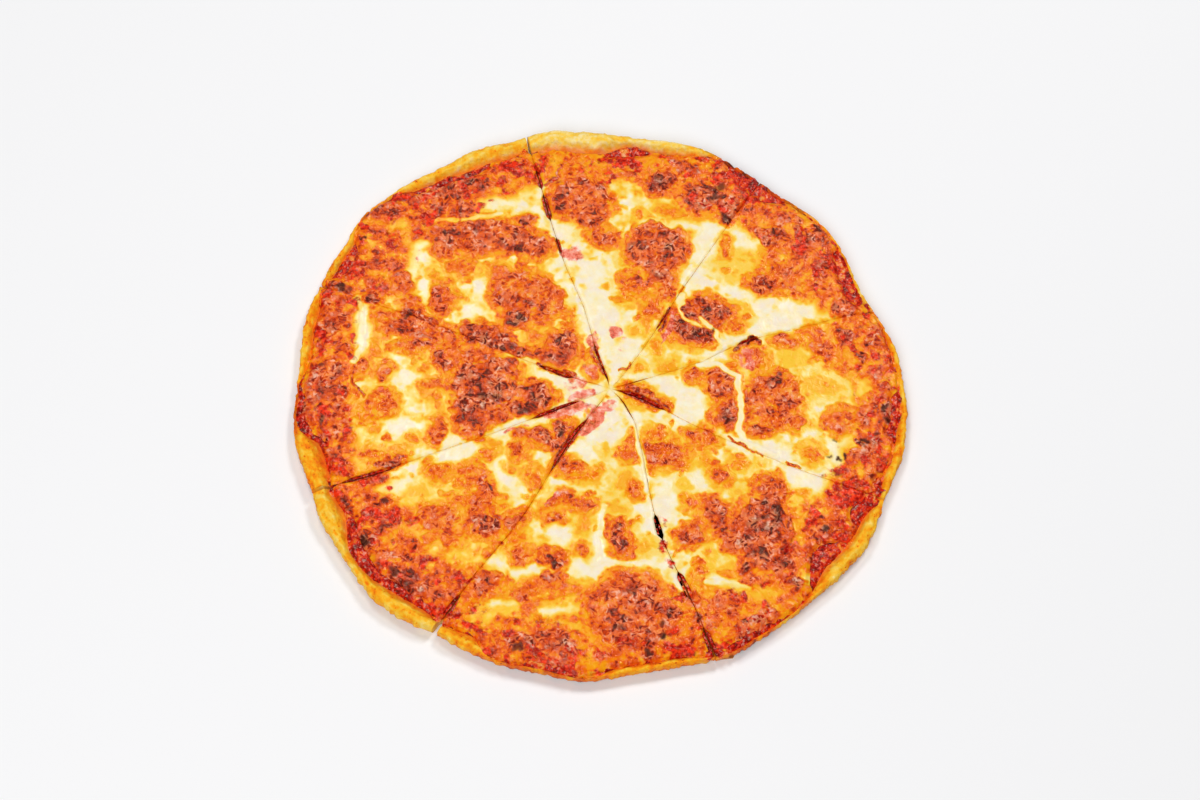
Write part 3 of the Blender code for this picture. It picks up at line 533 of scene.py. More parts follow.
def walked(outline, step=EDGE_STEP, softness=CORNER_SOFTNESS):
    """The outline in equal steps, with its corners softened."""
    closed = np.vstack([outline, outline[:1]])
    along = np.concatenate([[0], np.cumsum(np.hypot(*np.diff(closed, axis=0).T))])
    count = int(round(along[-1] / step))
    places = np.linspace(0, along[-1], count, endpoint=False)
    even = np.stack([np.interp(places, along, closed[:, k]) for k in (0, 1)], axis=1)
    reach = int(2.5 * softness / step)
    shifts = np.arange(-reach, reach + 1)
    weights = np.exp(-0.5 * (shifts * step / softness) ** 2)
    return sum(w * np.roll(even, k, axis=0) for w, k in zip(weights, shifts)) / weights.sum()


print("outline of slice 1:", len(walked(flat_outline("crust_1"))), "steps")

# %% [markdown]
# Much of the pizza is told by direction: this way the rim is pale, that way it is burnt. So the
# points are also read as a distance from the middle and a direction, and each outline knows
# which way is out.

# %% Directions
def outward(outline):
    """Directions that point out of an outline that runs against the clock."""
    along = np.roll(outline, -1, axis=0) - np.roll(outline, 1, axis=0)
    along /= np.hypot(*along.T)[:, None]
    return np.stack([along[:, 1], -along[:, 0]], axis=1)


def polar(x, y):
    """Distance from the middle and direction in degrees from 0 to 360."""
    return np.hypot(x, y), np.degrees(np.arctan2(y, x)) % 360


def turned_from(degrees, middle):
    """How many degrees each direction lies away from one in the middle."""
    return np.abs((degrees - middle + 180) % 360 - 180)


def round_value(values, degrees):
    """Reads a measure taken every degree at any direction."""
    return np.interp(degrees, np.arange(360), values, period=360)


print("from 350 to 20 degrees is a turn of", turned_from(350, 20))

# %% [markdown]
# The rim of the crust is round, so it has no flat face to read. Rays find it instead: one level
# ray from outside finds the outer edge, one from inside finds the foot of the rim, and rays from
# above find its highest point. They are taken every degree, and the few that fall into a knife
# cut are filled in from their neighbours.

# %% Rim from rays
WIDEST_AT = 2.4
BASE_TOP = 4.6
RAY_START = 170.0
INSIDE_START = 112.0
SMALLEST_RADIUS = 130
RAY_HEIGHT = 20
CREST_SHARES = (0.25, 0.36, 0.5)


def smooth_round(values, reach=2):
    """Fills the gaps in values taken round the pizza and evens them out a little."""
    degrees = np.arange(len(values))
    found = np.isfinite(values)
    filled = np.interp(degrees, degrees[found], np.asarray(values)[found], period=len(values))
    shifts = range(-2 * reach, 2 * reach + 1)
    weights = np.exp(-0.5 * (np.array(shifts) / reach) ** 2)
    return sum(w * np.roll(filled, k) for w, k in zip(weights, shifts)) / weights.sum()


def crust_trees():
    """A search tree for each crust, for the rays to hit."""
    solids = [solid_mesh(f"crust_{k}") for k in SLICES]
    return [BVHTree.FromPolygons(corners.tolist(), triangles.tolist()) for corners, triangles in solids]


def hits_on(trees, start, direction, wanted):
    """What is wanted of each slice's hit, and an empty list where the ray falls through a cut."""
    hits = [tree.ray_cast(start, direction)[0] for tree in trees]
    return [wanted(hit) for hit in hits if hit is not None]


def measure_rim():
    """Outer edge, foot and highest point of the rim in each of 360 directions."""
    trees = crust_trees()
    outer, foot, crest = [], [], []
    for degree in range(360):
        turn = math.radians(degree)
        away = Vector((math.cos(turn), math.sin(turn), 0))
        outside = away * RAY_START + Vector((0, 0, WIDEST_AT))
        inside = away * INSIDE_START + Vector((0, 0, BASE_TOP + 0.1))
        edge = max(hits_on(trees, outside, -away, lambda hit: hit.xy.length), default=math.nan)
        edge = edge if edge > SMALLEST_RADIUS else math.nan
        base = min(hits_on(trees, inside, away, lambda hit: hit.xy.length), default=math.nan)
        heights = []
        for share in CREST_SHARES:
            over = away * (edge + share * (base - edge)) + Vector((0, 0, RAY_HEIGHT))
            if math.isfinite(over.x):
                heights += hits_on(trees, over, Vector((0, 0, -1)), lambda hit: hit.z)
        outer.append(edge)
        foot.append(base)
        crest.append(max(heights, default=math.nan))
    return smooth_round(outer), smooth_round(foot, 1), smooth_round(crest, 1)


OUTER_EDGE, RIM_FOOT, RIM_CREST = measure_rim()


def inside_rim(x, y):
    """How far each point lies inside the foot of the rim."""
    radius, degrees = polar(x, y)
    return round_value(RIM_FOOT, degrees) - radius


print("rim: radius", OUTER_EDGE.min().round(1), "to", OUTER_EDGE.max().round(1),
      "width", (OUTER_EDGE - RIM_FOOT).min().round(1), "to", (OUTER_EDGE - RIM_FOOT).max().round(1),
      "crest", RIM_CREST.min().round(1), "to", RIM_CREST.max().round(1))

# %% [markdown]
# ## A layer of food as a closed mesh
# Every piece here is a slab: flat underneath, with a low wall round it and an uneven top. The
# top is a net of small triangles over the outline and over points set like honeycomb inside it,
# and each point is lifted to the height that the food has there. A grid with a displacement
# would leave ragged edges along the knife cuts, and this net follows them exactly.

# %% Net over an outline
HIDDEN_STEP = 5.0


def honeycomb(outline, spacing, seed, keep=None):
    """Points inside an outline, in rows like honeycomb and a little shaken."""
    x0, y0 = outline.T
    x1, y1 = np.roll(outline, -1, axis=0).T
    found = []
    height = spacing * math.sqrt(0.75)
    for row in range(int(y0.min() / height) - 1, int(y0.max() / height) + 2):
        y = row * height
        crossing = (y0 <= y) != (y1 <= y)
        ends = np.sort((x0 + (y - y0) / (y1 - y0 + 1e-12) * (x1 - x0))[crossing])
        for left, right in zip(ends[::2], ends[1::2]):
            columns = np.arange(math.ceil(left / spacing - 0.5), math.floor(right / spacing + 0.5) + 1)
            x = spacing * (columns + 0.5 * (row % 2))
            x = x[(x > left) & (x < right)]
            found.append(np.stack([x, np.full(len(x), y)], axis=1))
    points = np.vstack(found)
    points += np.random.default_rng(seed).uniform(-0.16, 0.16, points.shape) * spacing
    return points if keep is None else points[keep(points[:, 0], points[:, 1])]


def distance_to(outline, x, y, block=2000):
    """Distance from each point to the nearest step of an outline."""
    nearest = np.empty(len(x))
    for start in range(0, len(x), block):
        part = slice(start, start + block)
        gap_x = x[part, None] - outline[None, :, 0]
        gap_y = y[part, None] - outline[None, :, 1]
        nearest[part] = np.sqrt((gap_x * gap_x + gap_y * gap_y).min(axis=1))
    return nearest


def clear_of(outline, points, spacing):
    """Leaves out the points that lie too near the outline for well-shaped triangles."""
    return points[distance_to(outline, *points.T) > 0.5 * spacing]


def graded_points(outline, spacing, seed, fine):
    """Points set close together where `fine` says so, and wide apart where nothing shows."""
    close = honeycomb(outline, spacing, seed, fine)
    wide = honeycomb(outline, HIDDEN_STEP, seed + 10, lambda x, y: ~fine(x, y))
    return clear_of(outline, np.vstack([close, wide]), spacing)


def net(outline, inner):
    """Triangles over the outline and the points inside it."""
    flat = [Vector(point) for point in np.vstack([outline, inner]).tolist()]
    count = len(outline)
    border = [(k, (k + 1) % count) for k in range(count)]
    _, _, faces, origin, _, _ = delaunay_2d_cdt(flat, border, [], 1, 1e-6)
    return [tuple(origin[corner][0] for corner in face) for face in faces]


square = np.array([(0.0, 0.0), (10.0, 0.0), (10.0, 10.0), (0.0, 10.0)])
print("a centimetre square holds", len(honeycomb(square, EDGE_STEP, 1)), "points")

# %% [markdown]
# Walls join the net to the underside, so that every piece is closed and can be printed or cut.
# The numbers that the material needs later are stored at the points, because they belong to the
# food and go with the mesh wherever it is used.

# %% Closed slab
SHARP_ANGLE = math.radians(62)


def slab(name, walls, outline, inner, top, under=None):
    """A closed slab. `walls` are rows of (x, y, z) from the underside up to just under the top.
    `under` are points of the underside inside its outline, where it needs a net of its own."""
    count = len(outline)
    points = np.vstack([*walls, np.column_stack([np.vstack([outline, inner]), top])])
    first = count * len(walls)
    around = np.arange(count)
    ahead = np.roll(around, -1)
    sides = [np.stack([around + k * count, ahead + k * count, ahead + (k + 1) * count,
                       around + (k + 1) * count], axis=1) for k in range(len(walls))]
    faces = np.vstack(sides).tolist()
    faces += [tuple(corner + first for corner in face) for face in net(outline, inner)]
    if under is None:
        faces.append(tuple(reversed(range(count))))
    else:
        added = len(points) - count
        beneath = net(walls[0][:, :2], under[:, :2])
        faces += [tuple(c if c < count else c + added for c in reversed(face)) for face in beneath]
        points = np.vstack([points, under])
    return finished_mesh(name, points, faces)


def finished_mesh(name, points, faces):
    """An object in metres, smooth but for its sharp edges, in the scene."""
    mesh = bpy.data.meshes.new(name)
    mesh.from_pydata((points * MM).tolist(), [], faces)
    mesh.validate()
    mesh.shade_smooth()
    mesh.set_sharp_from_angle(angle=SHARP_ANGLE)
    piece = bpy.data.objects.new(name, mesh)
    bpy.context.scene.collection.objects.link(piece)
    return piece


def paint(piece, **values):
    """Stores a number for each point of a piece, for its material to read."""
    for name, numbers in values.items():
        attribute = piece.data.attributes.new(name, "FLOAT", "POINT")
        attribute.data.foreach_set("value", np.asarray(numbers, np.float32))


def points_of(piece):
    """x, y and z of each point of a piece, in millimetres."""
    flat = np.empty(len(piece.data.vertices) * 3, np.float32)
    piece.data.vertices.foreach_get("co", flat)
    return (flat.reshape(-1, 3).astype(float) / MM).T


print("edges sharper than", round(math.degrees(SHARP_ANGLE)), "degrees stay sharp")

# %% [markdown]
# ## How brown, how red, how white
# The colour of a baked pizza is one story told by a few numbers at each place: how far the cheese
# has browned, where it stayed white, where tomato or bare sausage shows, where a pale sheen is
# painted on the wrinkles as a highlight and where something burnt. The numbers are kept apart from
# the colours, so the height of the cheese can follow them too, because cheese blisters up where it
# browns. First come the distances to the ellipses and lines of the tables.

# %% Distance from a mark
def ellipse_gap(x, y, place):
    """About how far each point lies outside an ellipse, in millimetres; inside it is negative."""
    middle_x, middle_y, length, width, turn = place[:5]
    angle = math.radians(turn)
    u = (x - middle_x) * math.cos(angle) + (y - middle_y) * math.sin(angle)
    v = (y - middle_y) * math.cos(angle) - (x - middle_x) * math.sin(angle)
    share = np.hypot(u / length, v / width)
    slope = np.hypot(u / length ** 2, v / width ** 2) + 1e-6
    return (share - 1) * share / slope


def line_gap(x, y, points, half_width):
    """How far each point lies outside a bent line of some width."""
    nearest = np.full(len(x), np.inf)
    for (x0, y0), (x1, y1) in zip(points, points[1:]):
        dx, dy = x1 - x0, y1 - y0
        share = np.clip(((x - x0) * dx + (y - y0) * dy) / (dx * dx + dy * dy), 0, 1)
        nearest = np.minimum(nearest, np.hypot(x - x0 - share * dx, y - y0 - share * dy))
    return nearest - half_width


def around_place(x, y, place, reach):
    """Which points are near enough to an ellipse to be changed by it."""
    size = max(place[2], place[3]) + reach
    return np.nonzero((np.abs(x - place[0]) < size) & (np.abs(y - place[1]) < size))[0]


def marked(x, y, places, edge, deep=2.0):
    """Strongest mark of a table of ellipses, softened `edge` millimetres out and `deep` in."""
    mark = np.zeros(len(x))
    for place in places:
        close = around_place(x, y, place, edge)
        gap = ellipse_gap(x[close], y[close], place)
        depth = min(deep + edge, 0.8 * min(place[2], place[3]))
        mark[close] = np.maximum(mark[close], place[5] * ease(edge, -depth, gap))
    return mark


print("from the middle to the first patch:", ellipse_gap(0, 0, BROWNED[0]).round(1), "mm")

# %% [markdown]
# A browned patch is darkest inside and melts out through orange to gold, so each one has a core
# and a halo. The points are shaken before they are measured, which tears up every outline. White
# strands lie over the patches, because they were the last cheese to run.

# %% Patches, strands and the edge
HALO_REACH = 4.0
HALO_MOST = 0.60
HALO_SHARE = 0.76
CORE_SHARE = 0.95


def shaken(x, y):
    """The points moved a little, so that the outlines of the marks come out torn."""
    moved_x = x + 2.2 * ripple(x, y, 11, 11) + 1.4 * ripple(x, y, 5, 12) + 0.5 * ripple(x, y, 2, 13)
    moved_y = y + 2.2 * ripple(x, y, 11, 21) + 1.4 * ripple(x, y, 5, 22) + 0.5 * ripple(x, y, 2, 23)
    return moved_x, moved_y


def browned_patches(x, y, nibble):
    """The middle of the browned patches, and the golden halo that melts out round them."""
    core = np.zeros(len(x))
    halo = np.zeros(len(x))
    for place in BROWNED:
        close = around_place(x, y, place, HALO_REACH + 1)
        smaller = min(place[2], place[3])
        gap = ellipse_gap(x[close], y[close], place) + nibble[close] * min(1, smaller / 5)
        depth = CORE_SHARE * place[5]
        core[close] = np.maximum(core[close], depth * ease(0.8, -min(3.6, 0.75 * smaller), gap))
        fade = ease(HALO_REACH, 0.4, gap)
        halo[close] = np.maximum(halo[close], min(HALO_MOST, HALO_SHARE * place[5]) * fade)
    return core, halo


def white_cheese(x, y, torn):
    """How white the cheese stayed, in pools and strands together, and in strands alone."""
    strand = np.zeros(len(x))
    swayed_x = x + 0.9 * ripples(x, y, 6, 31, 3)
    swayed_y = y + 0.9 * ripples(x, y, 6, 32, 3)
    thinned = 0.6 * ripple(x, y, 4, 33)
    for points, half_width, strength in WHITE_STRANDS:
        gap = line_gap(swayed_x, swayed_y, points, half_width) + thinned
        strand = np.maximum(strand, strength * ease(0.8, -0.5, gap))
    return np.maximum(marked(*torn, WHITE_POOLS, 2.5), strand), strand


def edge_band(x, y):
    """The well-baked, sauce-stained belt just inside the rim."""
    radius, degrees = polar(x, y)
    band = np.zeros(len(x))
    ragged = 4 * ripple(x, y, 14, 81) + 2 * ripple(x, y, 6, 82)
    for middle, half, inner, strength in EDGE_BAND:
        here = strength * ease(half * 1.6, half * 0.5, turned_from(degrees, middle))
        band = np.maximum(band, here * ease(-6, 6, radius - inner - ragged))
    return band


def burnt_spots(x, y, torn, wrinkle):
    """The few charred places, with crumbly edges."""
    burnt = np.zeros(len(x))
    crumbly = 0.8 * wrinkle + 0.9 * ripples(x, y, 1.8, 95)
    for spot_x, spot_y, size, strength in BURNT_SPOTS:
        gap = np.hypot(torn[0] - spot_x, torn[1] - spot_y) - size + crumbly
        burnt = np.maximum(burnt, strength * ease(0.7, -0.5 * size, gap))
    return burnt


print("edge of the sauce at three o'clock:", edge_band(np.array([135.0]), np.array([0.0])).round(2))

# %% [markdown]
# Between the patches the cheese runs from milk white to gold. Its number is stretched so that
# both ends are reached, and kept below orange, because only the patches and the edge go darker.
# Wherever it has browned at all it is blotchy and wrinkled, and the darkest places level off.

# %% The baked top
LEVELS_OFF = 0.85
BLACKEST = 1.15


def melted_cheese(x, y, torn, halo, white, band, bubble, blotch):
    """How far the cheese between the dark patches has browned."""
    golden = 0.84 * marked(*torn, GOLDEN, 5.0) + 0.12 * ripples(x, y, 8, 42)
    ground = np.clip(np.maximum(0.14 + 0.13 * ripples(x, y, 12, 41, 3), golden), 0.03, 0.62)
    marbled = 0.15 * ripples(x, y, 4, 53) + 0.24 * ripples(x, y, 8, 55) - 0.03
    melted = np.maximum(halo, ground + marbled) + 0.30 * ease(0.22, 0.45, bubble)
    melted = np.clip(melted * (1 - 0.85 * white) / 0.50 - 0.13, 0, 1)
    milk = 0.05 + 0.06 * ripples(x, y, 5, 58) + 0.03 * ripples(x, y, 2.2, 59)
    flushed = 0.09 * ripples(x, y, 3.4, 57) + 0.10 * ripples(x, y, 7, 56)
    melted = milk + (0.45 + flushed + 0.05 * ripples(x, y, 1.6, 62)) * melted
    return np.maximum(melted, band * (0.76 + 0.18 * blotch + flushed) * (1 - 0.7 * white))


def bake(x, y):
    """All the numbers of the baked top at each point."""
    torn = shaken(x, y)
    wrinkle = ripples(x, y, 3.2, 52)
    blotch = ripples(x, y, 6, 51)
    bubble = blisters(*torn, 6.5, 105) * ease(0.0, 0.4, ripples(x, y, 13, 107))
    band = edge_band(x, y)
    white, strand = white_cheese(x, y, torn)
    core, halo = browned_patches(*torn, 2.2 * ripples(x, y, 6.5, 71, 3) - 1.0)
    for points, half_width, depth in CREASES:
        core = np.maximum(core, depth * ease(0.8, -0.4, line_gap(*torn, points, half_width)))
    core *= 1 - 0.9 * strand
    browned = np.maximum(core, melted_cheese(x, y, torn, halo, white, band, bubble, blotch))
    inside = ease(0.36, 0.62, browned)
    crumbs = ease(0.30, 0.60, ripples(x, y, 1.7, 54))
    # Painted light and shade: the wrinkle term makes the raised folds paler and the valleys between them
    # darker.
    uneven = 0.20 * ripples(x, y, 13, 60) + 0.24 * blotch - 0.18 * wrinkle - 0.18 * crumbs + 0.04
    browned += inside * uneven
    browned = np.where(browned > LEVELS_OFF, LEVELS_OFF + 0.75 * (browned - LEVELS_OFF), browned)
    tomato = marked(*torn, TOMATO, 2.2, 1.2) * (0.75 + 0.25 * ripples(x, y, 3, 93))
    tomato = np.maximum(tomato, 0.75 * band * ease(-0.05, 0.45, ripples(x, y, 9, 91)))
    return {
        "browned": np.clip(browned, 0, BLACKEST),
        "white": white,
        "strand": strand,
        "tomato": np.clip(tomato, 0, 1),
        "sausage": marked(*torn, BARE_SAUSAGE, 1.0, 0.2) * (1 - 0.8 * strand),
        "burnt": burnt_spots(x, y, torn, wrinkle),
        # painted highlight: where a pale pink sheen is painted on the wrinkle crests
        "sheen": ease(0.45, 0.75, core) * ease(-0.35, 0.5, ripples(x, y, 8, 61)),
        "core": core,
        "wrinkle": wrinkle * inside,
        "bubble": bubble,
    }


print("browned at the first patch:", bake(*np.array([[80.0], [98.0]]))["browned"].round(2))

# %% [markdown]
# ## Colours and shader groups
# The effects that several foods share are node groups: browning turns the baked numbers into a
# colour, the oily skin gives a fine height for the bump, and the gloss gives the roughness. Each
# material then keeps its own Principled shader. Colours are written as they look on a screen and
# turned into linear light once.

# %% Helpers for shader nodes
def screen(red, green, blue):
    """A colour as a screen shows it, 0 to 255, in the linear light of the shader."""
    def linear(value):
        value /= 255
        return value / 12.92 if value <= 0.04045 else ((value + 0.055) / 1.055) ** 2.4
    return linear(red), linear(green), linear(blue), 1.0


def new_group(name, inputs, outputs):
    """A shader group with float inputs (name, default) and outputs (name, socket type)."""
    group = bpy.data.node_groups.new(name, "ShaderNodeTree")
    for label, value in inputs:
        socket = group.interface.new_socket(label, in_out="INPUT", socket_type="NodeSocketFloat")
        socket.default_value = value
    for label, kind in outputs:
        group.interface.new_socket(label, in_out="OUTPUT", socket_type=kind)
    return group, group.nodes.new("NodeGroupInput"), group.nodes.new("NodeGroupOutput")


def put(tree, kind, **settings):
    """Adds a node; settings are its properties."""
    node = tree.nodes.new(kind)
    for name, value in settings.items():
        setattr(node, name, value)
    return node


def feed(tree, socket, value):
    """Links an output to a socket, or sets the socket to a number or colour."""
    if isinstance(value, bpy.types.NodeSocket):
        tree.links.new(value, socket)
    else:
        socket.default_value = value


def maths(tree, operation, a, b=0.0, clamp=False):
    """A sum on two numbers or outputs."""
    node = put(tree, "ShaderNodeMath", operation=operation, use_clamp=clamp)
    feed(tree, node.inputs[0], a)
    feed(tree, node.inputs[1], b)
    return node.outputs[0]


def blend(tree, amount, under, over):
    """Lays one colour over another by an amount."""
    node = put(tree, "ShaderNodeMix", data_type="RGBA")
    feed(tree, node.inputs["Factor"], amount)
    feed(tree, node.inputs["A"], under)
    feed(tree, node.inputs["B"], over)
    return node.outputs["Result"]


def stepped(tree, value, low, high, start=0.0, end=1.0):
    """Maps low..high to start..end with a smooth ease."""
    node = put(tree, "ShaderNodeMapRange", interpolation_type="SMOOTHSTEP")
    for socket, number in zip(node.inputs, (value, low, high, start, end)):
        feed(tree, socket, number)
    return node.outputs["Result"]


print("middle grey in linear light:", round(screen(128, 128, 128)[0], 3))

# %% [markdown]
# Noise is measured in millimetres on the object, and not across a picture of it, so the grain of
# every piece has the same size and nothing has to be unwrapped.

# %% Noise and ramps for the shaders
def millimetres(tree):
    """The place on the object, in millimetres."""
    place = put(tree, "ShaderNodeTexCoord").outputs["Object"]
    scaled = put(tree, "ShaderNodeVectorMath", operation="SCALE")
    scaled.inputs["Scale"].default_value = 1 / MM
    tree.links.new(place, scaled.inputs[0])
    return scaled.outputs[0]


def grain(tree, size, detail=2.0, roughness=0.6):
    """Noise from 0 to 1 with bumps `size` millimetres apart."""
    node = put(tree, "ShaderNodeTexNoise")
    tree.links.new(millimetres(tree), node.inputs["Vector"])
    node.inputs["Scale"].default_value = 1 / size
    node.inputs["Detail"].default_value = detail
    node.inputs["Roughness"].default_value = roughness
    return node.outputs["Fac"]


def ramp(tree, value, stops):
    """A colour ramp from (place, screen colour) stops."""
    node = put(tree, "ShaderNodeValToRGB")
    elements = node.color_ramp.elements
    while len(elements) < len(stops):
        elements.new(0.5)
    for element, (place, colour) in zip(elements, stops):
        element.position = place
        element.color = screen(*colour)
    feed(tree, node.inputs["Fac"], value)
    return node.outputs["Color"]


print("one millimetre is", MM, "in the units of the scene")

# %% [markdown]
# Browning runs from cream through straw, gold and orange to a red-brown and almost black, as fat
# and milk sugar darken. A fine grain is added before the ramp, and not after it, so that the
# grain changes the hue as real browning does and not only the brightness. Painted shade in the
# valleys of the wrinkles and painted light on their crests are added with it.

# %% Palette of the topping
BROWNING_TOP = 1.1
BROWNING = [
    (0.00, (252, 243, 218)), (0.15, (253, 228, 142)), (0.27, (252, 202, 56)), (0.38, (249, 160, 14)),
    (0.48, (246, 126, 8)), (0.60, (240, 100, 14)), (0.76, (214, 68, 18)), (0.90, (156, 40, 18)),
    (1.07, (84, 24, 14)),
]
TOMATO_DARK = (160, 8, 4)
TOMATO_BRIGHT = (250, 56, 22)
MEAT = [(0.32, (170, 34, 20)), (0.43, (236, 84, 60)), (0.56, (250, 146, 126)), (0.68, (252, 214, 200))]
MILK = (243, 226, 212)
# The next two colours are painted highlights on the oily skin: white-pink glints and a pink sheen.
GLINT_WHITE = (255, 226, 206)
SHEEN_PINK = (252, 160, 104)
BURNT_BLACK = (62, 16, 8)
print("browning colour:", len(BROWNING), "stops")

# %% [markdown]
# The group lays the colours over each other: browned cheese, milky pools, tomato, bare sausage,
# then a pink sheen and small white-pink glints painted on the wrinkle crests as highlights, and
# char last. The edge of each is broken up by noise, so that no colour ends in a clean line.

# %% Group: browning colour
def make_browning_group():
    """Turns the baked numbers into one colour."""
    inputs = [("Browned", 0.2), ("Froth", 0.0), ("Tomato", 0.0), ("Sausage", 0.0), ("Burnt", 0.0),
              ("Grain", 0.36), ("Ridge", 0.5)]
    tree, given, result = new_group("browning colour", inputs, [("Colour", "NodeSocketColor")])
    given = given.outputs
    speckle = maths(tree, "SUBTRACT", grain(tree, 3.4, 2.5, 0.5), 0.5)
    baked_here = stepped(tree, given["Browned"], 0.28, 0.64, 0.15, 1.45)
    # Painted shade and light: the valleys between the wrinkles are made darker and their crests paler.
    relief_shading = stepped(tree, given["Ridge"], 0.0, 0.7, 0.32, -0.18)
    uneven = maths(tree, "ADD", speckle, relief_shading)
    change = maths(tree, "MULTIPLY", maths(tree, "MULTIPLY", uneven, baked_here), given["Grain"])
    level = maths(tree, "ADD", given["Browned"], change)
    stops = [(place / BROWNING_TOP, colour) for place, colour in BROWNING]
    colour = ramp(tree, maths(tree, "DIVIDE", level, BROWNING_TOP), stops)
    pool = stepped(tree, grain(tree, 9, 2.0), 0.4, 0.7)
    milky = maths(tree, "MULTIPLY", stepped(tree, given["Browned"], 0.16, 0.06), pool)
    colour = blend(tree, maths(tree, "MULTIPLY", milky, 0.6), colour, screen(*MILK))
    torn = maths(tree, "MULTIPLY", maths(tree, "SUBTRACT", grain(tree, 4.5, 3.0), 0.5), 1.8)
    wet = stepped(tree, maths(tree, "ADD", given["Tomato"], torn), 0.25, 0.65)
    wet = maths(tree, "MULTIPLY", wet, stepped(tree, given["Tomato"], 0.0, 0.3))
    pulp = stepped(tree, grain(tree, 2.4, 2.0), 0.35, 0.65)
    red = blend(tree, pulp, screen(*TOMATO_DARK), screen(*TOMATO_BRIGHT))
    colour = blend(tree, wet, colour, red)
    meat = ramp(tree, grain(tree, 3.2, 3.0, 0.6), MEAT)
    patchy = maths(tree, "MULTIPLY", maths(tree, "SUBTRACT", grain(tree, 5, 3.0), 0.5), 2.2)
    bare = stepped(tree, maths(tree, "ADD", given["Sausage"], patchy), 0.25, 0.85)
    bare = maths(tree, "MULTIPLY", bare, stepped(tree, given["Sausage"], 0.0, 0.4))
    colour = blend(tree, maths(tree, "MULTIPLY", bare, 0.92), colour, meat)
    # Painted highlight: a pale pink sheen on the crests of the wrinkles.
    crest = maths(tree, "MULTIPLY", given["Froth"], stepped(tree, given["Ridge"], 0.35, 1.05))
    colour = blend(tree, maths(tree, "MULTIPLY", crest, 0.5), colour, screen(*SHEEN_PINK))
    # Painted highlights: small white-pink glints on the wrinkle crests.
    painted_glint = maths(tree, "MULTIPLY", stepped(tree, grain(tree, 2.3, 1.0), 0.50, 0.68),
                stepped(tree, given["Ridge"], 0.4, 1.0))
    painted_glint = maths(tree, "MULTIPLY", painted_glint, stepped(tree, given["Froth"], 0.0, 0.9, 0.25, 1.0))
    painted_glint = maths(tree, "MULTIPLY", painted_glint, stepped(tree, given["Browned"], 0.42, 0.6))
    colour = blend(tree, maths(tree, "MULTIPLY", painted_glint, 0.45), colour, screen(*GLINT_WHITE))
    colour = blend(tree, given["Burnt"], colour, screen(*BURNT_BLACK))
    feed(tree, result.inputs["Colour"], colour)
    return tree


BROWNING_GROUP = make_browning_group()
print("group:", BROWNING_GROUP.name)

# %% [markdown]
# The skin of baked cheese is fine and leathery where it browned, and almost smooth where it
# stayed white. The bump gets a height from two sizes of noise, in millimetres, scaled by how
# baked the place is. The gloss changes with it: browned fat shines, and dry burnt crumbs do not.

# %% Groups: wrinkles, oily skin and gloss
def make_wrinkle_group():
    """Thin ridges that wander over the skin: they lie where a twisted noise crosses its middle."""
    tree, given, result = new_group("wrinkles", [("Size", 1.6)], [("Ridge", "NodeSocketFloat")])
    noise = put(tree, "ShaderNodeTexNoise")
    tree.links.new(millimetres(tree), noise.inputs["Vector"])
    feed(tree, noise.inputs["Scale"], maths(tree, "DIVIDE", 1.0, given.outputs["Size"]))
    noise.inputs["Detail"].default_value = 1.5
    noise.inputs["Roughness"].default_value = 0.55
    noise.inputs["Distortion"].default_value = 0.7
    away = maths(tree, "ABSOLUTE", maths(tree, "SUBTRACT", noise.outputs["Fac"], 0.5))
    feed(tree, result.inputs["Ridge"], stepped(tree, away, 0.0, 0.20, 1.0, 0.0))
    return tree


def make_skin_group():
    """The height of the skin for the bump, in millimetres."""
    inputs = [("Baked", 0.5), ("Ridge", 0.5), ("Fine", 0.05), ("Coarse", 0.10)]
    tree, given, result = new_group("oily skin", inputs, [("Height", "NodeSocketFloat")])
    given = given.outputs
    rough = maths(tree, "ADD", grain(tree, 1.1, 1.0), given["Ridge"])
    coarse = maths(tree, "MULTIPLY", rough, given["Coarse"])
    fine = maths(tree, "MULTIPLY", grain(tree, 0.45, 1.0), given["Fine"])
    height = maths(tree, "ADD", coarse, fine)
    feed(tree, result.inputs["Height"], maths(tree, "MULTIPLY", height, given["Baked"]))
    return tree


def make_gloss_group():
    """The roughness of the skin: oily places shine, dry ones do not."""
    inputs = [("Dry", 0.0), ("Oily", 0.5), ("Base", 0.34)]
    tree, given, result = new_group("gloss", inputs, [("Roughness", "NodeSocketFloat")])
    given = given.outputs
    uneven = maths(tree, "MULTIPLY", maths(tree, "SUBTRACT", grain(tree, 3.0, 2.0), 0.5), 0.35)
    level = maths(tree, "ADD", given["Base"], uneven)
    level = maths(tree, "SUBTRACT", level, maths(tree, "MULTIPLY", given["Oily"], 0.10))
    level = maths(tree, "ADD", level, maths(tree, "MULTIPLY", given["Dry"], 0.35), clamp=True)
    feed(tree, result.inputs["Roughness"], maths(tree, "MAXIMUM", level, 0.14))
    return tree


WRINKLE_GROUP = make_wrinkle_group()
SKIN_GROUP = make_skin_group()
GLOSS_GROUP = make_gloss_group()
print("groups:", WRINKLE_GROUP.name, SKIN_GROUP.name, GLOSS_GROUP.name)

# %% [markdown]
# Every food is made into a material by the same few steps: read the numbers that are stored at the
# points, send them through the groups, and feed what comes out to the shader.

# %% Material helpers
def new_material(name):
    """A material with its tree and its Principled shader."""
    material = bpy.data.materials.new(name)
    material.use_nodes = True
    return material, material.node_tree, material.node_tree.nodes["Principled BSDF"]


def stored(tree, name):
    """A number stored at the points of the piece."""
    return put(tree, "ShaderNodeAttribute", attribute_name=name).outputs["Fac"]


def use_group(tree, group, **values):
    """Adds a group with its inputs fed, and gives back its one output."""
    node = put(tree, "ShaderNodeGroup", node_tree=group)
    for name, value in values.items():
        feed(tree, node.inputs[name], value)
    return node.outputs[0]


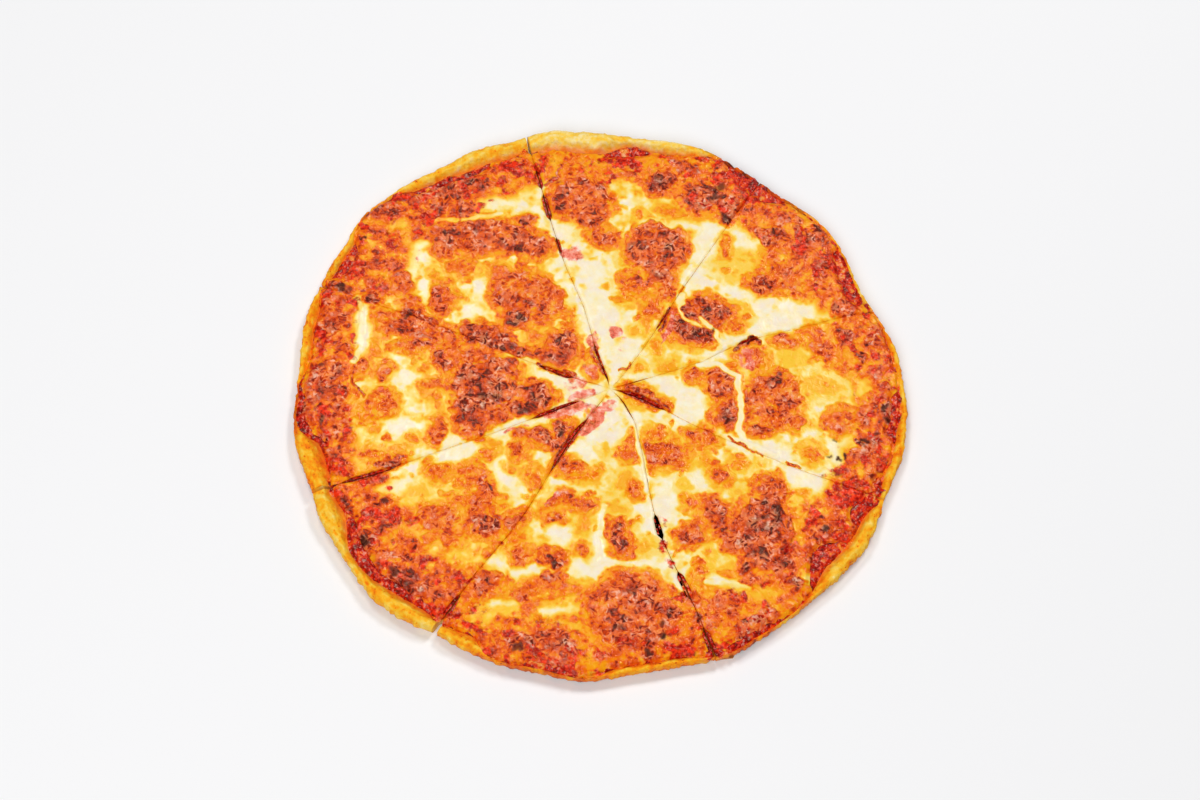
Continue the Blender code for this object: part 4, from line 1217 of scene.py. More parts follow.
def bumped(tree, shader, height):
    """Feeds a height in millimetres to the shader's normal."""
    bump = put(tree, "ShaderNodeBump")
    bump.inputs["Strength"].default_value = 1.0
    bump.inputs["Distance"].default_value = MM
    feed(tree, bump.inputs["Height"], height)
    feed(tree, shader.inputs["Normal"], bump.outputs["Normal"])


print("bumps are measured in steps of", MM, "m")

# %% [markdown]
# ## Cheese and sausage
# Cheese and sausage have baked together under one film of fat, so they share the browning group.
# The sausage is told apart by a redder, coarser grain. A little light goes through both of them.

# %% Materials of the topping
def topping_material(name, grain_strength, coarse, base_gloss, depth):
    """Cheese or sausage: the same browning, with a grain, a skin, a gloss and a depth of its own."""
    material, tree, shader = new_material(name)
    browned = stored(tree, "browned")
    tomato = stored(tree, "tomato")
    ridge = use_group(tree, WRINKLE_GROUP, Size=3.6)
    colour = use_group(tree, BROWNING_GROUP, Browned=browned, Froth=stored(tree, "sheen"),
                       Tomato=tomato, Sausage=stored(tree, "sausage"),
                       Burnt=stored(tree, "burnt"), Grain=grain_strength, Ridge=ridge)
    feed(tree, shader.inputs["Base Color"], colour)
    oily = stepped(tree, browned, 0.3, 0.7)
    roughness = use_group(tree, GLOSS_GROUP, Dry=stored(tree, "burnt"), Oily=oily, Base=base_gloss)
    feed(tree, shader.inputs["Roughness"], roughness)
    baked_skin = maths(tree, "MAXIMUM", stepped(tree, browned, 0.25, 0.7, 0.15, 1.0), tomato)
    skin = use_group(tree, SKIN_GROUP, Baked=baked_skin, Ridge=ridge, Fine=0.03, Coarse=coarse)
    bumped(tree, shader, skin)
    shader.inputs["Specular Tint"].default_value = (1.0, 0.64, 0.45, 1)
    shader.inputs["IOR"].default_value = 1.46
    shader.inputs["Specular IOR Level"].default_value = 0.4
    shader.inputs["Subsurface Weight"].default_value = depth
    shader.inputs["Subsurface Radius"].default_value = (1.0, 0.55, 0.25)
    shader.inputs["Subsurface Scale"].default_value = 1.6 * MM
    return material


CHEESE = topping_material("baked cheese", 0.30, 0.26, 0.24, 0.12)
SAUSAGE = topping_material("baked sausage", 0.33, 0.29, 0.23, 0.05)
print("materials:", CHEESE.name, "and", SAUSAGE.name)

# %% [markdown]
# ## Sauce
# Tomato sauce baked at the edge is wet, deep red and lumpy, darker where it dried and orange
# where fat ran into it.

# %% Material of the sauce
SAUCE_COLOURS = [(0.0, (96, 6, 4)), (0.3, (170, 12, 8)), (0.55, (222, 34, 12)), (0.8, (238, 92, 22)),
                 (1.0, (246, 150, 60))]


def make_sauce_material():
    """Lumpy, wet tomato with painted glints on its ridges."""
    material, tree, shader = new_material("baked tomato sauce")
    ridge = use_group(tree, WRINKLE_GROUP, Size=3.4)
    lumps = stepped(tree, grain(tree, 2.6, 4.0, 0.62), 0.30, 0.70)
    oil = maths(tree, "MULTIPLY", stored(tree, "oil"), 0.5)
    colour = ramp(tree, maths(tree, "ADD", maths(tree, "MULTIPLY", lumps, 0.75), oil, clamp=True),
                  SAUCE_COLOURS)
    # Painted highlights: small white-pink glints on the ridges of the sauce.
    glint = maths(tree, "MULTIPLY", stepped(tree, grain(tree, 1.5, 1.0), 0.54, 0.66), ridge)
    colour = blend(tree, maths(tree, "MULTIPLY", glint, 0.28), colour, screen(*GLINT_WHITE))
    colour = blend(tree, stored(tree, "burnt"), colour, screen(*BURNT_BLACK))
    feed(tree, shader.inputs["Base Color"], colour)
    roughness = use_group(tree, GLOSS_GROUP, Dry=stored(tree, "burnt"), Oily=1.0, Base=0.28)
    feed(tree, shader.inputs["Roughness"], roughness)
    bumped(tree, shader, use_group(tree, SKIN_GROUP, Baked=1.0, Ridge=ridge, Fine=0.06, Coarse=0.40))
    shader.inputs["Specular IOR Level"].default_value = 0.5
    shader.inputs["Specular Tint"].default_value = (1.0, 0.60, 0.45, 1)
    return material


SAUCE = make_sauce_material()
print("material:", SAUCE.name)

# %% [markdown]
# ## Colours of the crust
# Thin crust bakes pale gold on its swollen rim and orange-brown where the oil ran, with small
# freckles and blisters. Where the knife went through, the crumb is pale and holey. The stored
# number `toast` says how far each place baked, with some painted shade and light.
# Oily dough runs from straw through gold to brown, and the dry dough underneath from cream through
# tan, so there are two ramps for the one number.

# %% Material of the crust
TOASTING = [(0.0, (253, 228, 156)), (0.2, (252, 210, 86)), (0.4, (253, 188, 36)), (0.55, (252, 156, 6)),
            (0.7, (244, 116, 4)), (0.85, (196, 72, 12)), (1.0, (96, 36, 16))]
DRY_TOASTING = [(0.0, (240, 216, 166)), (0.3, (234, 194, 124)), (0.5, (218, 162, 86)),
                (0.7, (184, 114, 54)), (0.87, (130, 70, 32)), (1.0, (74, 38, 20))]
STAIN = (232, 92, 20)


def make_crust_material():
    """Baked dough: freckled, dusty with flour, stained by oil and charred in places."""
    material, tree, shader = new_material("baked crust")
    toast = stored(tree, "toast")
    freckles = stepped(tree, grain(tree, 1.5, 2.0), 0.60, 0.72, 0.0, 0.30)
    flour = stepped(tree, grain(tree, 2.6, 3.0), 0.55, 0.75, 0.0, 0.16)
    fine = maths(tree, "MULTIPLY", maths(tree, "SUBTRACT", grain(tree, 1.6, 3.0), 0.5), 0.36)
    baked_here = stepped(tree, toast, 0.15, 0.5)
    level = maths(tree, "ADD", toast, maths(tree, "MULTIPLY", freckles, baked_here))
    level = maths(tree, "ADD", maths(tree, "SUBTRACT", level, flour), fine, clamp=True)
    colour = blend(tree, stored(tree, "dry"), ramp(tree, level, TOASTING), ramp(tree, level, DRY_TOASTING))
    colour = blend(tree, stored(tree, "stain"), colour, screen(*STAIN))
    colour = blend(tree, stored(tree, "burnt"), colour, screen(*BURNT_BLACK))
    feed(tree, shader.inputs["Base Color"], colour)
    roughness = use_group(tree, GLOSS_GROUP, Dry=0.35, Oily=stored(tree, "stain"), Base=0.52)
    feed(tree, shader.inputs["Roughness"], roughness)
    bumped(tree, shader, use_group(tree, SKIN_GROUP, Baked=1.0, Fine=0.12, Coarse=0.45))
    shader.inputs["Specular IOR Level"].default_value = 0.3
    shader.inputs["Specular Tint"].default_value = (1.0, 0.72, 0.45, 1)
    shader.inputs["Subsurface Weight"].default_value = 0.06
    shader.inputs["Subsurface Radius"].default_value = (1.0, 0.6, 0.3)
    shader.inputs["Subsurface Scale"].default_value = 1.2 * MM
    return material


CRUST = make_crust_material()
print("material:", CRUST.name)

# %% [markdown]
# ## The shape of the rim
# The rim is where the eye goes: it rises steeply from its widest line, rounds over and runs down
# to the sauce, with bubbles, folds and flakes on it. Its width, height and edge come from the rays
# that measured the solid. The height is worked out before the cheese, which melts out onto it.

# %% Height of the rim
HIGHEST = 9.35
MEAN_RADIUS = 148
CREST_AT = 0.36
FALLS_FROM = 0.48


def folds(inward, degrees):
    """Long wrinkles and flakes that run along the rim."""
    along = np.radians(degrees) * MEAN_RADIUS
    lift = ripples(inward + 0.8 * ripple(inward, along, 4, 165), along / 3.2, 2.3, 164)
    return lift + 0.5 * ease(0.1, 0.3, ripples(inward, along / 2.5, 3.4, 166))


def rim_height(x, y):
    """Height of the crust's upper side, from the outer edge over the rim to the flat base."""
    radius, degrees = polar(x, y)
    outer = round_value(OUTER_EDGE, degrees)
    width = outer - round_value(RIM_FOOT, degrees)
    rise = round_value(RIM_CREST, degrees) - BASE_TOP
    share = (outer - radius) / width
    upper = 0.45 + 0.55 * np.sin(np.clip(share / CREST_AT, 0, 1) * math.pi / 2)
    slope = 0.5 + 0.5 * np.cos(np.clip((share - FALLS_FROM) / (1 - FALLS_FROM), 0, 1) * math.pi)
    height = BASE_TOP + rise * np.where(share < CREST_AT, upper, slope)
    on_rim = ease(1.02, 0.85, share)
    wide = np.clip(width / 9, 0.25, 1)
    height += on_rim * wide * (0.65 * ripples(x, y, 6.5, 161) + 0.55 * blisters(x, y, 5.2, 162) - 0.25)
    height += on_rim * (0.25 * ripples(x, y, 2.4, 163) * np.clip(width / 4, 0.5, 1))
    height += on_rim * np.clip(width / 5, 0.4, 1) * 0.6 * folds(outer - radius, degrees)
    return np.clip(height, BASE_TOP - 0.05, HIGHEST + 0.05)


print("height near the far edge:", rim_height(np.array([0.0]), np.array([147.0])).round(1), "mm")

# %% [markdown]
# ## The height of the topping
# Melted cheese is flattest where it stayed white, stands up in small domes where steam blew it,
# and is wrinkled like skin where it browned. The height is built from the same numbers as the
# colours. Near a knife cut the blade has pressed the edge down and it is rounded over.

# %% Height of the topping
CHEESE_FLOOR = 6.2
CHEESE_LEVEL = 7.75


def topping_height(x, y, baked):
    """Height of the cheese at each point, from its baked numbers."""
    level = CHEESE_LEVEL + 0.30 * ripple(x, y, 24, 101) + 0.20 * ripple(x, y, 9, 102)
    crisp = ease(0.30, 0.85, baked["core"])
    level += 0.70 * crisp + 0.20 * baked["wrinkle"]
    level += crisp * (0.45 * blisters(x, y, 3.1, 103) + 0.14 * ripples(x, y, 1.5, 104) - 0.2)
    level += (1 - crisp) * (1 - 0.6 * baked["white"]) * 0.45 * baked["bubble"]
    level += 0.45 * baked["strand"] - 0.12 * baked["burnt"]
    level += baked["tomato"] * (0.30 * ripples(x, y, 2.4, 109) - 0.25)
    return np.minimum(level, HIGHEST)


print("the cheese reaches from", CHEESE_FLOOR, "to", HIGHEST, "mm")

# %% [markdown]
# ## Knife cuts
# Four cuts meet near the middle. Where the gap beside a slice is narrow, the soft food has flowed
# together again, so its wall bulges into the gap. Where a cut stands open it keeps its distance.

# %% Knife cuts
# Where a cut stands open, as (x, y, how far along it)
OPEN_CUTS = [
    (-2, 16, 10), (-27, 82, 4), (-36, 104, 7), (-40, 121, 5), (-23, 9, 8), (-22, -11, 11),
    (-107, -56, 12), (-130, -66, 8), (-15, -30, 15), (-62, -119, 6), (-70, -131, 7), (33, -70, 6),
    (46, -100, 7), (59, -129, 8), (20, -2, 11), (71, 34, 5), (28, 43, 6), (-45, 140, 4),
]


def closed_up(walks, k, shut, opened, widest=6.5):
    """How far each step of a slice's outline flows into the knife gap beside it, and whether the
    neighbours are so far away that it lies along the rim."""
    outline = walks[k]
    beside = [walks[(k - 2) % 8 + 1], walks[k % 8 + 1]]
    gap = np.minimum(*(distance_to(other, *outline.T) for other in beside))
    apart = np.zeros(len(outline))
    for x, y, reach in OPEN_CUTS:
        away = np.hypot(outline[:, 0] - x, outline[:, 1] - y)
        apart = np.maximum(apart, ease(1.25 * reach, 0.7 * reach, away))
    sway = 0.5 + 0.5 * ripples(*outline.T, 3.5, 125)
    flow = np.maximum(gap / 2 - 0.12, 0) * (shut + (opened - shut) * apart) * (0.86 + 0.14 * sway)
    return flow * ease(widest, widest - 2, gap), ease(4.5, 6.5, gap)


cheese_walks = {k: walked(flat_outline(f"cheese_{k}")) for k in SLICES}
HUB = np.mean([walk[np.argmin(np.hypot(*walk.T))] for walk in cheese_walks.values()], axis=0)
HUB_HOLE = max(np.hypot(*(walk - HUB).T).min() for walk in cheese_walks.values())
print("the cuts meet at", HUB.round(1), "and leave a hole of", round(HUB_HOLE, 1), "mm")

# %% [markdown]
# ## Edges that melted out
# Along the rim no knife held the food in. The cheese ends there in a ragged line, and its top runs
# on over the foot of the rim, in some places far over it. The middle hole closes up, because
# melted cheese bridges a gap that narrow.

# %% Outline of the cheese and how far it runs
# Where food ran far over a narrow rim: direction, half width in degrees, how much further
OVER_THE_RIM = [
    (-57, 10, 2.6), (-102, 8, 2.4), (189, 6, 2.0), (38, 11, 0.8), (0, 14, 0.8), (66, 6, 1.5),
]


def faces_rim(foot):
    """Where an outline faces the rim and not a knife cut."""
    radius = np.hypot(*foot.T)
    facing = np.sum(outward(foot) * foot, axis=1) / radius
    return ease(0.35, 0.8, facing) * ease(30, 60, radius)


def cheese_outline(k):
    """The sheet's foot: flowed into the cuts and ragged along the rim, and where it is free."""
    outline = cheese_walks[k]
    x, y = outline.T
    flow, at_rim = closed_up(cheese_walks, k, 1.0, -0.5)
    spare = inside_rim(x, y)
    ragged = 1.2 * ripple(x, y, 7, 121) + 0.7 * ripple(x, y, 2.6, 122) + 0.1
    on_rim = ease(6.0, 2.0, spare) * at_rim
    reach = np.minimum(ragged + 0.6 * ease(2.5, 1.2, spare), spare - 0.25)
    foot = outline + outward(outline) * (flow + reach * np.maximum(on_rim, 0.6 * at_rim))[:, None]
    from_hub = np.hypot(*(foot - HUB).T)
    foot = HUB + (foot - HUB) * (0.05 + 0.95 * ease(HUB_HOLE, HUB_HOLE + 3.5, from_hub))[:, None]
    return foot, np.maximum(at_rim, faces_rim(foot))


def run_over(foot, free):
    """How far the top of melted food runs out onto the rim, past its own foot."""
    degrees = polar(*foot.T)[1]
    width = round_value(OUTER_EDGE, degrees) - round_value(RIM_FOOT, degrees)
    reach = 1.5 + 0.7 * ripples(*foot.T, 4, 127)
    for middle, half, more in OVER_THE_RIM:
        reach += more * ease(half * 1.2, half * 0.7, turned_from(degrees, middle))
    reach = np.clip(reach, 0.3, width - 0.7)
    return free * ease(3.2, 1.6, inside_rim(*foot.T)) * reach


print("outline of cheese 1:", len(cheese_outline(1)[0]), "steps")

# %% [markdown]
# A free edge must not end in a step, so near it the top is let down to what lies under it: the
# rim where it has run that far, and the layer below elsewhere. The wall under the edge comes back
# in to the foot, which keeps the piece closed.

# %% Melted edges and walls
EDGE_UNDER = 0.2


def melted_down(lid, foot_count, free, top, floor):
    """Lets the free edge of a layer run down to what lies under it, instead of ending in a step."""
    x, y = lid.T
    edge = lid[:foot_count][free > 0.5]
    if not len(edge):
        return top
    from_free = distance_to(edge, x, y)
    resting = rim_height(x, y) - EDGE_UNDER
    beyond = ease(0.6, -0.6, inside_rim(x, y))
    rest = beyond * resting + (1 - beyond) * floor
    top = rest + (top - rest) * ease(0.0, 2.4, from_free)
    covered = np.maximum(top, resting + 0.35 * ease(0.1, 0.8, from_free))
    return np.where(from_free < 5, covered, top)


def layer_walls(outline, foot, lip, floor, edge_top, bulges):
    """Rows of a wall from the foot up. `bulges` gives each row's share of the height and how far
    it stands out."""
    out = outward(outline)
    rows = []
    for share, bulge in bulges:
        set_back = foot * (lip * (1 - share ** 2) / np.hypot(*foot.T))[:, None]
        place = outline + out * bulge[:, None] - set_back
        rows.append(np.column_stack([place, floor + share * (edge_top - floor)]))
    return rows


print("a melted edge ends", EDGE_UNDER, "mm under the skin of the rim")

# %% [markdown]
# ## Where the sausage shows
# The rounds went on under the cheese. Each one shows only where the cheese above it bubbled away
# and browned, so whether a point shows sausage is read from the browned patches, and both the
# cheese and the round ask the same question.

# %% Sausage under the cheese
SAUSAGE_STEP = 0.7
SAUSAGE_SOFTNESS = 0.7
SHOWS_FROM = 0.52


def sausage_nodes(k):
    """The solids of the rounds that lie on a slice."""
    return sorted(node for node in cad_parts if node.startswith(f"pepperoni_{k}_"))


sausage_outlines = {
    node: walked(flat_outline(node), SAUSAGE_STEP, SAUSAGE_SOFTNESS)
    for k in SLICES for node in sausage_nodes(k)
}


def sausage_shows(x, y, core, inset):
    """Where a round of sausage breaks through the cheese, well inside its own outline."""
    patchy = core - SHOWS_FROM + 0.16 * ripples(x, y, 5, 111)
    return ease(0.0, 0.16, patchy) * ease(0.4, 2.2, inset)


def inside_of(outline, x, y):
    """Which points lie inside an outline."""
    x0, y0 = outline.T
    x1, y1 = np.roll(outline, -1, axis=0).T
    inside = np.zeros(len(x), bool)
    for ax, ay, bx, by in zip(x0, y0, x1, y1):
        crossing = (ay <= y) != (by <= y)
        inside ^= crossing & (x < ax + (y - ay) / (by - ay + 1e-12) * (bx - ax))
    return inside


print("outlines of sausage:", len(sausage_outlines))

# %% [markdown]
# Cheese and rounds are dressed alike. The baked numbers are stored on the top, and down a cut wall
# they fade towards a set orange with some tomato red. Then each piece is told which solids it
# stands for, and which material it has.

# %% Dressing the topping
ON_TOP = ("browned", "tomato", "sausage", "burnt", "sheen")
DOWN_THE_WALL = {"browned": 0.5, "tomato": 0.35}


def dress_topping(piece, wall_rows, around, baked):
    """Stores the baked numbers on the top of a piece, and faded ones down its wall."""
    keep = ease(0.3, 1.0, np.repeat(np.linspace(0, 0.8, wall_rows), around))
    values = {}
    for name in ON_TOP:
        edge = np.tile(baked[name][:around], wall_rows)
        pale = DOWN_THE_WALL.get(name, 0)
        values[name] = np.concatenate([edge * keep + pale * (1 - keep), baked[name]])
    paint(piece, **values)


def settle(piece, nodes, material):
    """A finished piece rides on the one body, stands for its solids and takes its material."""
    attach(piece, "root")
    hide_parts(*nodes)
    piece.data.materials.clear()
    piece.data.materials.append(material)


print("numbers on the topping:", ", ".join(ON_TOP))

# %% [markdown]
# ## Rounds of sausage
# Each round is a thin disc on its solid's outline. Its top follows the same height as the cheese,
# a little above it where the sausage shows and below it elsewhere, so the two meet in a torn line
# and not along a circle.

# %% Sausage rounds
SAUSAGE_OVER = 0.18
SAUSAGE_UNDER = 0.70
SAUSAGE_WALL = [(0.0, -0.2), (0.35, 0.0), (0.7, 0.05)]


def make_sausage(node):
    """One round of sausage."""
    outline = sausage_outlines[node]
    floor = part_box(node)[0].z / MM
    inner = clear_of(outline, honeycomb(outline, SAUSAGE_STEP, 300), SAUSAGE_STEP)
    lid = np.vstack([outline, inner])
    baked = bake(*lid.T)
    shows = sausage_shows(*lid.T, baked["core"], distance_to(outline, *lid.T))
    top = topping_height(*lid.T, baked) + SAUSAGE_OVER * shows - SAUSAGE_UNDER * (1 - shows)
    top += 0.10 * ripples(*lid.T, 2.4, 141) * shows
    top = np.clip(top, floor + 0.5, HIGHEST)
    edge_top = top[:len(outline)]
    out = outward(outline)
    walls = [np.column_stack([outline + out * step, floor + share * (edge_top - floor)])
             for share, step in SAUSAGE_WALL]
    piece = slab(node.replace("pepperoni", "pepperoni_round"), walls, outline, inner, top)
    baked["browned"] = np.clip(baked["browned"] + 0.02 * shows, 0, BLACKEST)
    dress_topping(piece, len(walls), len(outline), baked)
    return piece


for k in SLICES:
    for node in sausage_nodes(k):
        settle(make_sausage(node), [node], SAUSAGE)
print("rounds of sausage:", len(sausage_outlines))

# %% [markdown]
# ## Slices of cheese
# The top of each slice follows the height of the topping. The knife pressed it down along the
# cuts, it thins towards the rim, and it sinks where a round of sausage comes through.

# %% Cheese slices
CHEESE_STEP = 0.6
CUT_ROUNDING = 1.3
PRESSED_DOWN = 0.55
MELT_OUT = 7.0
SAUSAGE_SINKS = 0.45
CHEESE_WALL = [(0.0, -0.30), (0.3, 0.05), (0.65, 0.12), (0.88, 0.06)]


def let_in_sausage(k, lid, top, baked):
    """Lowers the top of the cheese where a round of sausage breaks through it."""
    x, y = lid.T
    for node in sausage_nodes(k):
        rim = sausage_outlines[node]
        middle = rim.mean(axis=0)
        reach = np.hypot(*(rim - middle).T).max()
        close = np.nonzero(np.hypot(*(lid - middle).T) < reach)[0]
        close = close[inside_of(rim, x[close], y[close])]
        inset = distance_to(rim, x[close], y[close])
        top[close] -= SAUSAGE_SINKS * sausage_shows(x[close], y[close], baked["core"][close], inset)


def make_cheese(k):
    """One slice of cheese."""
    foot, free = cheese_outline(k)
    lip = run_over(foot, free)
    outline = foot * (1 + lip / np.hypot(*foot.T))[:, None]
    inner = clear_of(outline, honeycomb(outline, CHEESE_STEP, 200 + k), CHEESE_STEP)
    lid = np.vstack([outline, inner])
    x, y = lid.T
    baked = bake(x, y)
    top = topping_height(x, y, baked)
    pressed = PRESSED_DOWN * ease(2.0, 7.0, np.hypot(x - HUB[0], y - HUB[1]))
    top -= pressed * (1 - np.clip(distance_to(outline, x, y) / CUT_ROUNDING, 0, 1)) ** 2
    top -= 0.6 * ease(MELT_OUT, 0, inside_rim(x, y))
    let_in_sausage(k, lid, top, baked)
    top = melted_down(lid, len(outline), free, top, CHEESE_FLOOR + 0.2)
    top = np.minimum(top, HIGHEST)
    bulges = [(share, (step + 0.08 * ripple(*(outline + 40 * share).T, 2.2, 131)) * (1 - free))
              for share, step in CHEESE_WALL]
    walls = layer_walls(outline, foot, lip, CHEESE_FLOOR, top[:len(outline)], bulges)
    piece = slab(f"cheese_slice_{k}", walls, outline, inner, top)
    dress_topping(piece, len(walls), len(outline), baked)
    return piece


for k in SLICES:
    settle(make_cheese(k), [f"cheese_{k}"], CHEESE)
print("cheese slices:", len(SLICES))

# %% [markdown]
# ## Sauce
# The sauce is spread under all of the cheese. It shows as a red line in the cuts and swells up
# into a lumpy red border where the cheese does not reach the rim, so only that border needs a
# fine net.

# %% Sauce slices
SAUCE_FLOOR = 4.9
SAUCE_LEVEL = 5.85
SAUCE_MOST = 7.9
SAUCE_STEP = 0.7
SAUCE_BORDER = 12.0
SAUCE_WALL = [(0.0, -0.15), (0.5, 0.05)]
sauce_walks = {k: walked(flat_outline(f"sauce_{k}"), SAUCE_STEP) for k in SLICES}


def sauce_top(k, outline, lid, free):
    """Height of the sauce: low under the cheese, and lumpy where it is bare."""
    x, y = lid.T
    cheese = cheese_outline(k)[0]
    past_cheese = distance_to(cheese, x, y) * ~inside_of(cheese, x, y)
    swell = ease(-0.1, 1.2, past_cheese)
    top = SAUCE_LEVEL + 0.10 * ripple(x, y, 9, 151)
    top += swell * (0.65 + 0.40 * ripples(x, y, 4.5, 152) + 0.55 * blisters(x, y, 2.6, 153))
    rounding = 1 - np.clip(distance_to(outline, x, y) / 0.9, 0, 1)
    top -= 0.35 * rounding ** 2 * ease(1.0, 3.0, inside_rim(x, y))
    top = np.clip(top, SAUCE_FLOOR + 0.5, SAUCE_MOST)
    top = melted_down(lid, len(outline), free, top, SAUCE_FLOOR + 0.5)
    return top + swell * (0.40 * ripples(x, y, 2.4, 157) + 0.14 * ripples(x, y, 1.2, 158))


def make_sauce(k):
    """One slice of the sauce."""
    flow = closed_up(sauce_walks, k, 0.9, 0.75)[0]
    foot = sauce_walks[k] + outward(sauce_walks[k]) * flow[:, None]
    free = faces_rim(foot)
    lip = 0.8 * run_over(foot, free)
    outline = foot * (1 + lip / np.hypot(*foot.T))[:, None]
    inner = graded_points(outline, SAUCE_STEP, 400 + k, lambda x, y: inside_rim(x, y) < SAUCE_BORDER)
    top = sauce_top(k, outline, np.vstack([outline, inner]), free)
    wavy = 0.1 * ripple(*outline.T, 2.5, 154)
    bulges = [(share, (step + wavy) * (1 - free)) for share, step in SAUCE_WALL]
    walls = layer_walls(outline, foot, lip, SAUCE_FLOOR, top[:len(outline)], bulges)
    piece = slab(f"sauce_slice_{k}", walls, outline, inner, top)
    x, y, _ = points_of(piece)
    paint(piece, oil=ease(0.0, 0.6, ripples(x, y, 7, 155)),
          burnt=0.55 * ease(0.45, 0.8, ripples(x, y, 5, 156)))
    return piece


for k in SLICES:
    settle(make_sauce(k), [f"sauce_{k}"], SAUCE)
print("sauce slices:", len(SLICES))

# %% [markdown]
# ## Crust
# The crust is one piece of dough, so rim and base are one mesh. Its wall starts at the underside,
# swells out to the widest line and tucks in again under the top, as dough does that rises on a
# hot stone. The base is hidden by the sauce and has few points, the rim has many.

# %% Outline and walls of the crust
CRUST_STEP = 0.65
CRUST_UNDERCUT = 3.2
INSIDE_BOX = 0.02
WIDEST_LEVEL = 0.4
LOWER_WALL = [(0.0, 0.0, 0.0), (0.5, 0.45, 0.5), (1.3, 0.82, 0.8), (WIDEST_AT, 1.0, 1.0)]
UPPER_WALL = [(0.72, 0.03, 1.0), (0.88, 0.075, 0.8)]
crust_walks = {k: walked(flat_outline(f"crust_{k}"), CRUST_STEP) for k in SLICES}


def crust_outline(k):
    """Outline of the underside, outline at the widest line, and where that lies along the rim."""
    flow = closed_up(crust_walks, k, 0.95, 0.95, 12)[0] * ease(-0.5, 2.5, inside_rim(*crust_walks[k].T))
    under = crust_walks[k] + outward(crust_walks[k]) * flow[:, None]
    radius, degrees = polar(*under.T)
    outer = round_value(OUTER_EDGE, degrees)
    on_rim = ease(CRUST_UNDERCUT + 1.6, CRUST_UNDERCUT + 0.9, outer - radius)
    ragged = 0.85 * ripples(*under.T, 4.5, 171) + 0.45 * ripple(*under.T, 1.9, 172) - 0.45
    scale = 1 + on_rim * (outer - radius + ragged - 0.15) / radius
    lowest = np.array(cad_low.xy) / MM + INSIDE_BOX
    highest = np.array(cad_high.xy) / MM - INSIDE_BOX
    return under, np.clip(under * scale[:, None], lowest, highest), on_rim


def crust_walls(under, outline, on_rim, edge_top):
    """Rows of the crust's wall: out to the widest line, then a little in again up to the top."""
    out = outward(outline)

    def crumbly(level):
        return 0.22 * ripples(outline[:, 0] + 30 * level, outline[:, 1] - 20 * level, 1.7, 173)

    rows = []
    for height, reach, crumbs in LOWER_WALL:
        place = under + (outline - under) * reach + out * (crumbs * crumbly(height))[:, None]
        rows.append(np.column_stack([place, np.full(len(outline), height)]))
    for level, tuck, crumbs in UPPER_WALL:
        place = outline + out * (crumbs * crumbly(level) - tuck * on_rim)[:, None]
        share = (level - WIDEST_LEVEL) / (1 - WIDEST_LEVEL)
        rows.append(np.column_stack([place, WIDEST_AT + (edge_top - WIDEST_AT) * share]))
    return rows


print("steps round crust 1:", len(crust_outline(1)[0]))

# %% [markdown]
# How far each place baked is stored as `toast`, with some painted light and shade. The
# rim has its tone by direction, painted paler on the far side, a cut shows pale crumb, the walls
# are painted darker towards the bottom and the base under the sauce dark, as shade in the knife
# gaps, and the underside is dry and spotted from the stone. Near the sauce the oil stains it orange.

# %% Dressing the crust
CRUMB = 0.14
BASE_SHADE = 0.9


def toasted(x, y, z, cut_wall):
    """How far each place of the crust baked, with painted shade and light in it, from 0 to 1."""
    radius, degrees = polar(x, y)
    outer = round_value(OUTER_EDGE, degrees)
    share = (outer - radius) / (outer - round_value(RIM_FOOT, degrees))
    tone = np.full(len(x), 0.5)
    for middle, half, value in RIM_TONE_AND_LIGHT:
        tone += (value - tone) * ease(half * 1.5, half * 0.6, turned_from(degrees, middle))
    toast = tone + 0.16 * ripples(x, y, 8, 181) + 0.14 * ripples(x, y, 2.6, 182)
    toast -= 0.20 * folds(outer - radius, degrees)
    # Painted shade: the walls get darker towards the bottom, deep in the knife gaps.
    toast += 0.18 * ease(3.4, 1.2, z)
    crumb = ease(0.3, 0.8, z) * cut_wall
    toast = toast * (1 - crumb) + (CRUMB + 0.10 * ripples(x, y, 3, 183)) * crumb
    # Painted shade: the top of the base under the sauce is dark, for the bottom of the knife gaps.
    toast += (BASE_SHADE - toast) * ease(4.0, 4.4, z) * ease(1.0, 1.08, share)
    beneath = ease(0.35, 0.05, z)
    spots = 0.46 + 0.22 * ripples(x, y, 16, 184) + 0.30 * ease(0.15, 0.6, ripples(x, y, 7, 185))
    return np.clip(toast * (1 - beneath) + spots * beneath, 0, 1)


def oil_stain(x, y, z):
    """Where the oil of the topping stained the rim, from 0 to 1."""
    radius, degrees = polar(x, y)
    outer = round_value(OUTER_EDGE, degrees)
    width = outer - round_value(RIM_FOOT, degrees)
    share = (outer - radius) / width
    stain = ease(0.62, 0.95, share + 0.12 * ripples(x, y, 4, 186)) * ease(1.5, 1.1, share)
    narrow = 0.75 * ease(4.2, 2.0, width) * ease(-0.2, 0.5, ripples(x, y, 5, 187))
    return np.maximum(stain * 0.8, narrow) * ease(2.2, 3.6, z) * ease(1.3, 1.05, share)


def burnt_rim(x, y, z):
    """Where the outer edge of the rim is charred, from 0 to 1."""
    radius, degrees = polar(x, y)
    from_edge = round_value(OUTER_EDGE, degrees) - radius
    burnt = np.zeros(len(x))
    for middle, half, value in BURNT_RIM:
        patch = ease(half * 1.3, half * 0.5, turned_from(degrees, middle))
        patch *= ease(-0.3, 0.4, ripples(x, y, 3, 188))
        burnt = np.maximum(burnt, value * patch * ease(2.8, 0.6, from_edge) * ease(1.0, 3.0, z))
    return burnt


print("tones round the rim:", len(RIM_TONE_AND_LIGHT))

# %% [markdown]
# The underside has a wide net of its own, with shallow dimples where steam stood between the dough
# and the stone, so that it is not a perfectly flat sheet.

# %% Crust slices
UNDERSIDE_STEP = 2.2
FINE_FROM_FOOT = 2.0


